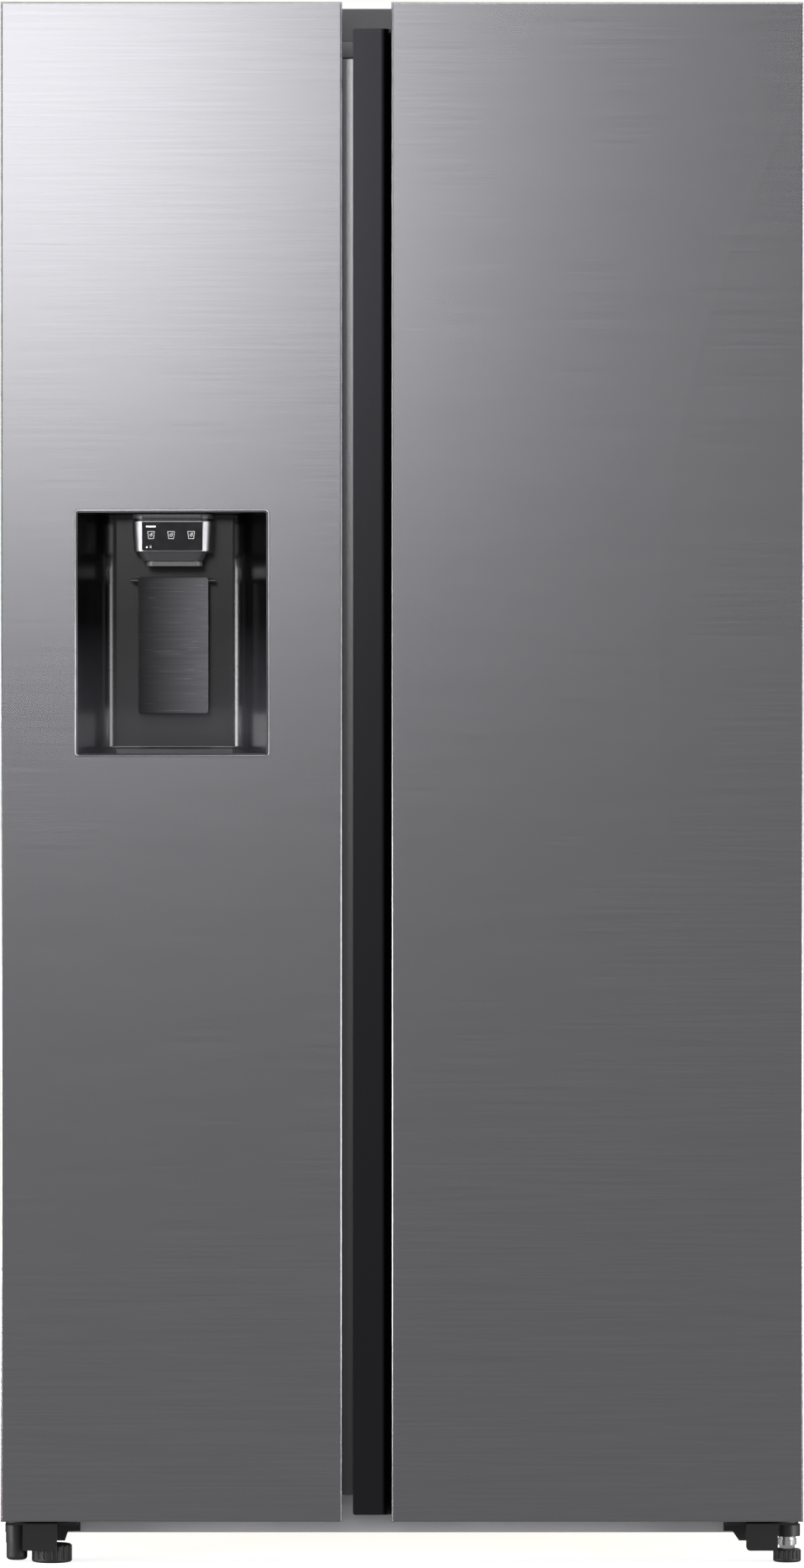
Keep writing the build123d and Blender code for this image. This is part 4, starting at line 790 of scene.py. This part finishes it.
def build_paddle():
    """Brushed plate, very slightly hollow, with softened edges and its axle."""
    low, high, middle = span("dispenser_paddle")
    settings = bpy.context.scene.fridge_dispenser
    half_width = settings.paddle_width / 2
    half_height = (high.z - low.z) / 2 - 0.4 * MM
    centre = Vector((middle.x, low.y + 0.6 * MM, middle.z))
    stand = Matrix.Translation(centre) @ Matrix.Rotation(math.radians(90.0), 4, "X")
    mesh = bmesh.new()
    bmesh.ops.create_grid(
        mesh, x_segments=16, y_segments=1, size=1.0,
        matrix=stand @ Matrix.Diagonal((half_width, half_height, 1.0, 1.0)),
    )
    corners = [vert for vert in mesh.verts if abs(abs(vert.co.x - middle.x) - half_width) < 0.001 * MM]
    bmesh.ops.bevel(
        mesh, geom=corners, offset=3.0 * MM, segments=5, profile=0.5, affect="VERTICES", material=-1,
        clamp_overlap=True,
    )
    for vert in mesh.verts:
        vert.co.y += settings.paddle_hollow * (1 - ((vert.co.x - middle.x) / half_width) ** 2)
    plate = piece("dispenser_paddle_plate", mesh, "paddle", "dispenser_paddle", 40.0)
    wall = plate.modifiers.new("thickness", "SOLIDIFY")
    wall.thickness = 3.6 * MM
    wall.offset = -1.0
    soft = plate.modifiers.new("edges", "BEVEL")
    soft.width = 0.6 * MM
    soft.segments = 3
    soft.limit_method = "ANGLE"
    soft.angle_limit = math.radians(50.0)
    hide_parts("dispenser_paddle")

    axle_y, axle_z = high.y - 3.0 * MM, high.z - 4.5 * MM
    axle_radius, sleeve_radius = 2.4 * MM, 2.95 * MM
    sleeve = half_width - 2.0 * MM
    mesh = bmesh.new()
    add_rod(mesh, (low.x, axle_y, axle_z), (high.x, axle_y, axle_z), axle_radius)
    add_rod(mesh, (middle.x - sleeve, axle_y, axle_z), (middle.x + sleeve, axle_y, axle_z), sleeve_radius)
    piece("dispenser_paddle_axle", mesh, "gloss", "dispenser_paddle", 40.0)


class FRIDGE_OT_dispenser(bpy.types.Operator):
    """Build the dispenser's recess, head, nozzle and paddle"""

    bl_idname = "fridge.dispenser"
    bl_label = "Dispenser"

    def execute(self, context):
        first = len(PIECES)
        build_tub()
        build_icons(build_head())
        build_spout()
        build_paddle()
        for made in PIECES[first:]:
            bpy.data.collections[DISPENSER_LIT].objects.link(made)
        return {"FINISHED"}


def levels(name, gap):
    """Lowest height of each separate layer of a node, from the bottom up."""
    heights = sorted({round(vert.co.z, 5) for vert in NODES[name].data.vertices})
    return [z for below, z in zip([-1.0] + heights, heights) if z - below > gap]


def build_shelves(name):
    """Toughened glass panes held in white front and rear rails."""
    low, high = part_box(name)
    front_rail, rear_rail, runner_width = 18.0 * MM, 10.8 * MM, 9.0 * MM
    layers = levels(name, 60.0 * MM)
    thick = high.z - layers[-1]
    panes, rails = bmesh.new(), bmesh.new()
    for z in layers:
        pane = add_box(
            panes, (low.x + 2.0 * MM, low.y + 5.0 * MM, z + 1.6 * MM),
            (high.x - 2.0 * MM, high.y - 4.0 * MM, z + thick - 1.4 * MM),
        )
        round_edges(panes, edges_along(panes, UPRIGHT, pane), 3.0 * MM)
        for front, rear in ((low.y, low.y + front_rail), (high.y - rear_rail, high.y)):
            rail = add_box(rails, (low.x, front, z), (high.x, rear, z + thick))
            round_edges(rails, edges_along(rails, 0, rail), 2.6 * MM, 4)
        for left, right in ((low.x, low.x + runner_width), (high.x - runner_width, high.x)):
            runner = add_box(
                rails, (left, low.y + 8.0 * MM, z + 0.3 * MM),
                (right, high.y - 8.0 * MM, z + thick - 0.8 * MM),
            )
            round_edges(rails, edges_along(rails, 1, runner), 1.2 * MM, 3)
    glass = piece(f"{name}_panes", panes, "glass", "cabinet")
    piece(f"{name}_rails", rails, "panel", "cabinet")
    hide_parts(name)


class FRIDGE_OT_inside(bpy.types.Operator):
    """Finish the liners, shelves, drawers, bins and air panels"""

    bl_idname = "fridge.inside"
    bl_label = "Inside"

    def execute(self, context):
        dress("liner", "freezer_liner", "fridge_liner")
        build_shelves("freezer_shelves")
        build_shelves("fridge_shelves")
        dress("clear", "freezer_door_bins", "fridge_door_bins", "ice_bucket")
        for kind in ("freezer", "crisper"):
            dress("clear", f"{kind}_drawer_lower", f"{kind}_drawer_upper")
        dress("panel", "freezer_air_panel", "fridge_air_panel")
        return {"FINISHED"}


class FRIDGE_OT_hinges(bpy.types.Operator):
    """Finish the hinges, feet and rollers"""

    bl_idname = "fridge.hinges"
    bl_label = "Hinges and feet"

    def execute(self, context):
        dress("hinge", "lower_hinge_left", "lower_hinge_right")
        dress("zinc", "upper_hinge_brackets")
        dress("pin", "hinge_pins", "hinge_screws", "hinge_lock_nut", "roller_axles")
        dress("pin", "foot_stud_left", "foot_stud_right")
        dress("foot", "hinge_boot", "foot_knob_left", "foot_knob_right")
        dress("roller", "rear_roller_left", "rear_roller_right")
        return {"FINISHED"}


class FRIDGE_OT_cold_circuit(bpy.types.Operator):
    """Finish the compressor, coils and fans"""

    bl_idname = "fridge.cold_circuit"
    bl_label = "Cold circuit"

    def execute(self, context):
        dress("compressor", "compressor")
        dress("copper", "condenser")
        dress("fins", "evaporator")
        dress("fan", "condenser_fan", "freezer_fan", "fan_motors")
        return {"FINISHED"}


def area_light(name, place, target, width, height, power):
    """Soft box aimed at a point and left out of the camera's own view."""
    light = bpy.data.lights.new(name, "AREA")
    light.shape = "RECTANGLE"
    light.size = width
    light.size_y = height
    light.energy = power
    made = bpy.data.objects.new(name, light)
    bpy.context.scene.collection.objects.link(made)
    made.location = place
    made.rotation_euler = (Vector(target) - Vector(place)).to_track_quat("-Z", "Y").to_euler()
    made.visible_camera = False
    return made


def room(settings):
    """World: an even grey room, dimmer behind the object, in front of a white backdrop."""
    world = bpy.data.worlds.new("studio_room")
    world.use_nodes = True
    tree = world.node_tree
    grey = tree.nodes["Background"]
    grey.inputs["Color"].default_value = (1.0, 1.0, 1.0, 1.0)
    white = tree.nodes.new("ShaderNodeBackground")
    white.inputs["Color"].default_value = (1.0, 1.0, 1.0, 1.0)
    white.inputs["Strength"].default_value = 1.0
    place = tree.nodes.new("ShaderNodeTexCoord")
    axes = tree.nodes.new("ShaderNodeSeparateXYZ")
    fall = tree.nodes.new("ShaderNodeMapRange")
    fall.inputs["From Min"].default_value = -0.25
    fall.inputs["From Max"].default_value = 0.25
    fall.inputs["To Min"].default_value = settings.world
    fall.inputs["To Max"].default_value = settings.world_behind
    rays = tree.nodes.new("ShaderNodeLightPath")
    mix = tree.nodes.new("ShaderNodeMixShader")
    tree.links.new(place.outputs["Generated"], axes.inputs["Vector"])
    tree.links.new(axes.outputs["Y"], fall.inputs["Value"])
    tree.links.new(fall.outputs["Result"], grey.inputs["Strength"])
    tree.links.new(rays.outputs["Is Camera Ray"], mix.inputs["Fac"])
    tree.links.new(grey.outputs["Background"], mix.inputs[1])
    tree.links.new(white.outputs["Background"], mix.inputs[2])
    tree.links.new(mix.outputs["Shader"], tree.nodes["World Output"].inputs["Surface"])
    bpy.context.scene.world = world


def floor_finish(settings):
    """Pale floor: lit up for the camera so that it runs into the backdrop, an even grey in reflections."""
    made = painted("floor_pale", (0.80, 0.80, 0.80), 0.8, 40.0, 0.0)
    tree = made.node_tree
    shader = tree.nodes["Principled BSDF"]
    shader.inputs["Emission Color"].default_value = (1.0, 1.0, 1.0, 1.0)
    shader.inputs["Emission Strength"].default_value = 0.82
    even = tree.nodes.new("ShaderNodeEmission")
    even.inputs["Strength"].default_value = settings.world
    rays = tree.nodes.new("ShaderNodeLightPath")
    mix = tree.nodes.new("ShaderNodeMixShader")
    tree.links.new(rays.outputs["Is Camera Ray"], mix.inputs["Fac"])
    tree.links.new(even.outputs["Emission"], mix.inputs[1])
    tree.links.new(shader.outputs["BSDF"], mix.inputs[2])
    tree.links.new(mix.outputs["Shader"], tree.nodes["Material Output"].inputs["Surface"])
    return made


def key_lights(settings, front, eye):
    """Lights that shape the whole object."""
    area_light("key_light", (-0.98, eye, 2.66), (-0.4, front, 1.5), 1.3, 1.8, settings.key_power)
    for side in (-1, 1):
        area_light(
            f"side_strip_{side}", (side * 2.6, front - 0.15, 0.95), (0.0, front - 0.05, 0.95),
            0.30, 2.4, settings.side_power,
        )
        area_light(
            f"low_strip_{side}", (side * 3.0, front - 1.7, 0.35), (0.0, front, 0.1),
            1.2, 0.5, settings.low_power,
        )
    area_light("top_light", (0.0, -2.6, 4.2), (0.0, front, 0.9), 3.0, 1.2, settings.top_power)
    area_light("back_light", (1.2, 4.2, 3.4), (0.0, 0.4, 0.9), 2.4, 2.4, settings.back_power)


def dispenser_lights(settings, front):
    """Lights that fall only on the dispenser's pieces: low and high strips to each side, and one above."""
    recess = span("dispenser_recess")[2]
    reach, low_eye, high_eye = 3.2, 0.62, 1.1
    strips = []
    for side, power in ((-1, settings.strip_power), (1, settings.strip_power * 0.5)):
        for name, degrees, height, width, tall, share in (
            ("front_strip", settings.strip_angle, low_eye, 0.8, 1.2, 1.0),
            ("head_strip", settings.head_strip_angle, high_eye, 1.7, 1.6, 0.15),
        ):
            turn = math.radians(degrees)
            stand = (recess.x + side * reach * math.sin(turn), recess.y - reach * math.cos(turn), height)
            aim = (recess.x, recess.y, height)
            strips.append(area_light(f"{name}_{side}", stand, aim, width, tall, power * share))
    strips.append(
        area_light("brow_light", (recess.x, front - 2.9, 2.6), recess, 1.2, 0.3, settings.brow_power)
    )
    lit = bpy.data.collections.new(DISPENSER_LIT)
    for strip in strips:
        strip.light_linking.receiver_collection = lit


class FRIDGE_OT_studio(bpy.types.Operator):
    """Add the floor, the soft lights and the camera"""

    bl_idname = "fridge.studio"
    bl_label = "Studio"

    def execute(self, context):
        settings = context.scene.fridge_studio
        front = CAD_BOX[0][1]
        mesh = bmesh.new()
        bmesh.ops.create_grid(mesh, x_segments=1, y_segments=1, size=14.0)
        data = bpy.data.meshes.new("studio_floor")
        mesh.to_mesh(data)
        mesh.free()
        floor = bpy.data.objects.new("studio_floor", data)
        context.scene.collection.objects.link(floor)
        data.materials.append(floor_finish(settings))

        eye = front - settings.distance
        key_lights(settings, front, eye)
        dispenser_lights(settings, front)
        room(settings)
        context.scene.view_settings.view_transform = "Standard"

        lens = bpy.data.cameras.new("studio_camera")
        lens.sensor_width = 36.0
        lens.lens = lens.sensor_width * settings.distance / settings.view_height
        lens.clip_end = 100.0
        camera = bpy.data.objects.new("studio_camera", lens)
        context.scene.collection.objects.link(camera)
        camera.location = (0.0, eye, settings.height)
        camera.rotation_euler = (math.radians(90.0), 0.0, 0.0)
        context.scene.camera = camera
        return {"FINISHED"}


class FRIDGE_PT_sidebar(bpy.types.Panel):
    """Panel that lists the refrigerator's operators"""

    bl_idname = "FRIDGE_PT_sidebar"
    bl_label = "Refrigerator"
    bl_space_type = "VIEW_3D"
    bl_region_type = "UI"
    bl_category = "Refrigerator"

    def draw(self, context):
        for operator in OPERATORS:
            self.layout.operator(operator.bl_idname)
        for name in SETTINGS:
            settings = getattr(context.scene, name)
            box = self.layout.box()
            for key in settings.__annotations__:
                box.prop(settings, key)


SETTINGS = {
    "fridge_finishes": FinishSettings,
    "fridge_dispenser": DispenserSettings,
    "fridge_studio": StudioSettings,
}
OPERATORS = (
    FRIDGE_OT_studio,
    FRIDGE_OT_case,
    FRIDGE_OT_doors,
    FRIDGE_OT_dispenser,
    FRIDGE_OT_inside,
    FRIDGE_OT_hinges,
    FRIDGE_OT_cold_circuit,
)


def register():
    for group in SETTINGS.values():
        bpy.utils.register_class(group)
    for key, group in SETTINGS.items():
        setattr(bpy.types.Scene, key, PointerProperty(type=group))
    for operator in OPERATORS:
        bpy.utils.register_class(operator)
    bpy.utils.register_class(FRIDGE_PT_sidebar)


def unregister():
    bpy.utils.unregister_class(FRIDGE_PT_sidebar)
    for operator in reversed(OPERATORS):
        bpy.utils.unregister_class(operator)
    for key, group in SETTINGS.items():
        delattr(bpy.types.Scene, key)
        bpy.utils.unregister_class(group)


def main():
    register()
    bpy.ops.fridge.studio()
    bpy.ops.fridge.case()
    bpy.ops.fridge.doors()
    bpy.ops.fridge.dispenser()
    bpy.ops.fridge.inside()
    bpy.ops.fridge.hinges()
    bpy.ops.fridge.cold_circuit()
    even_normals()


if __name__ == "__main__":
    main()
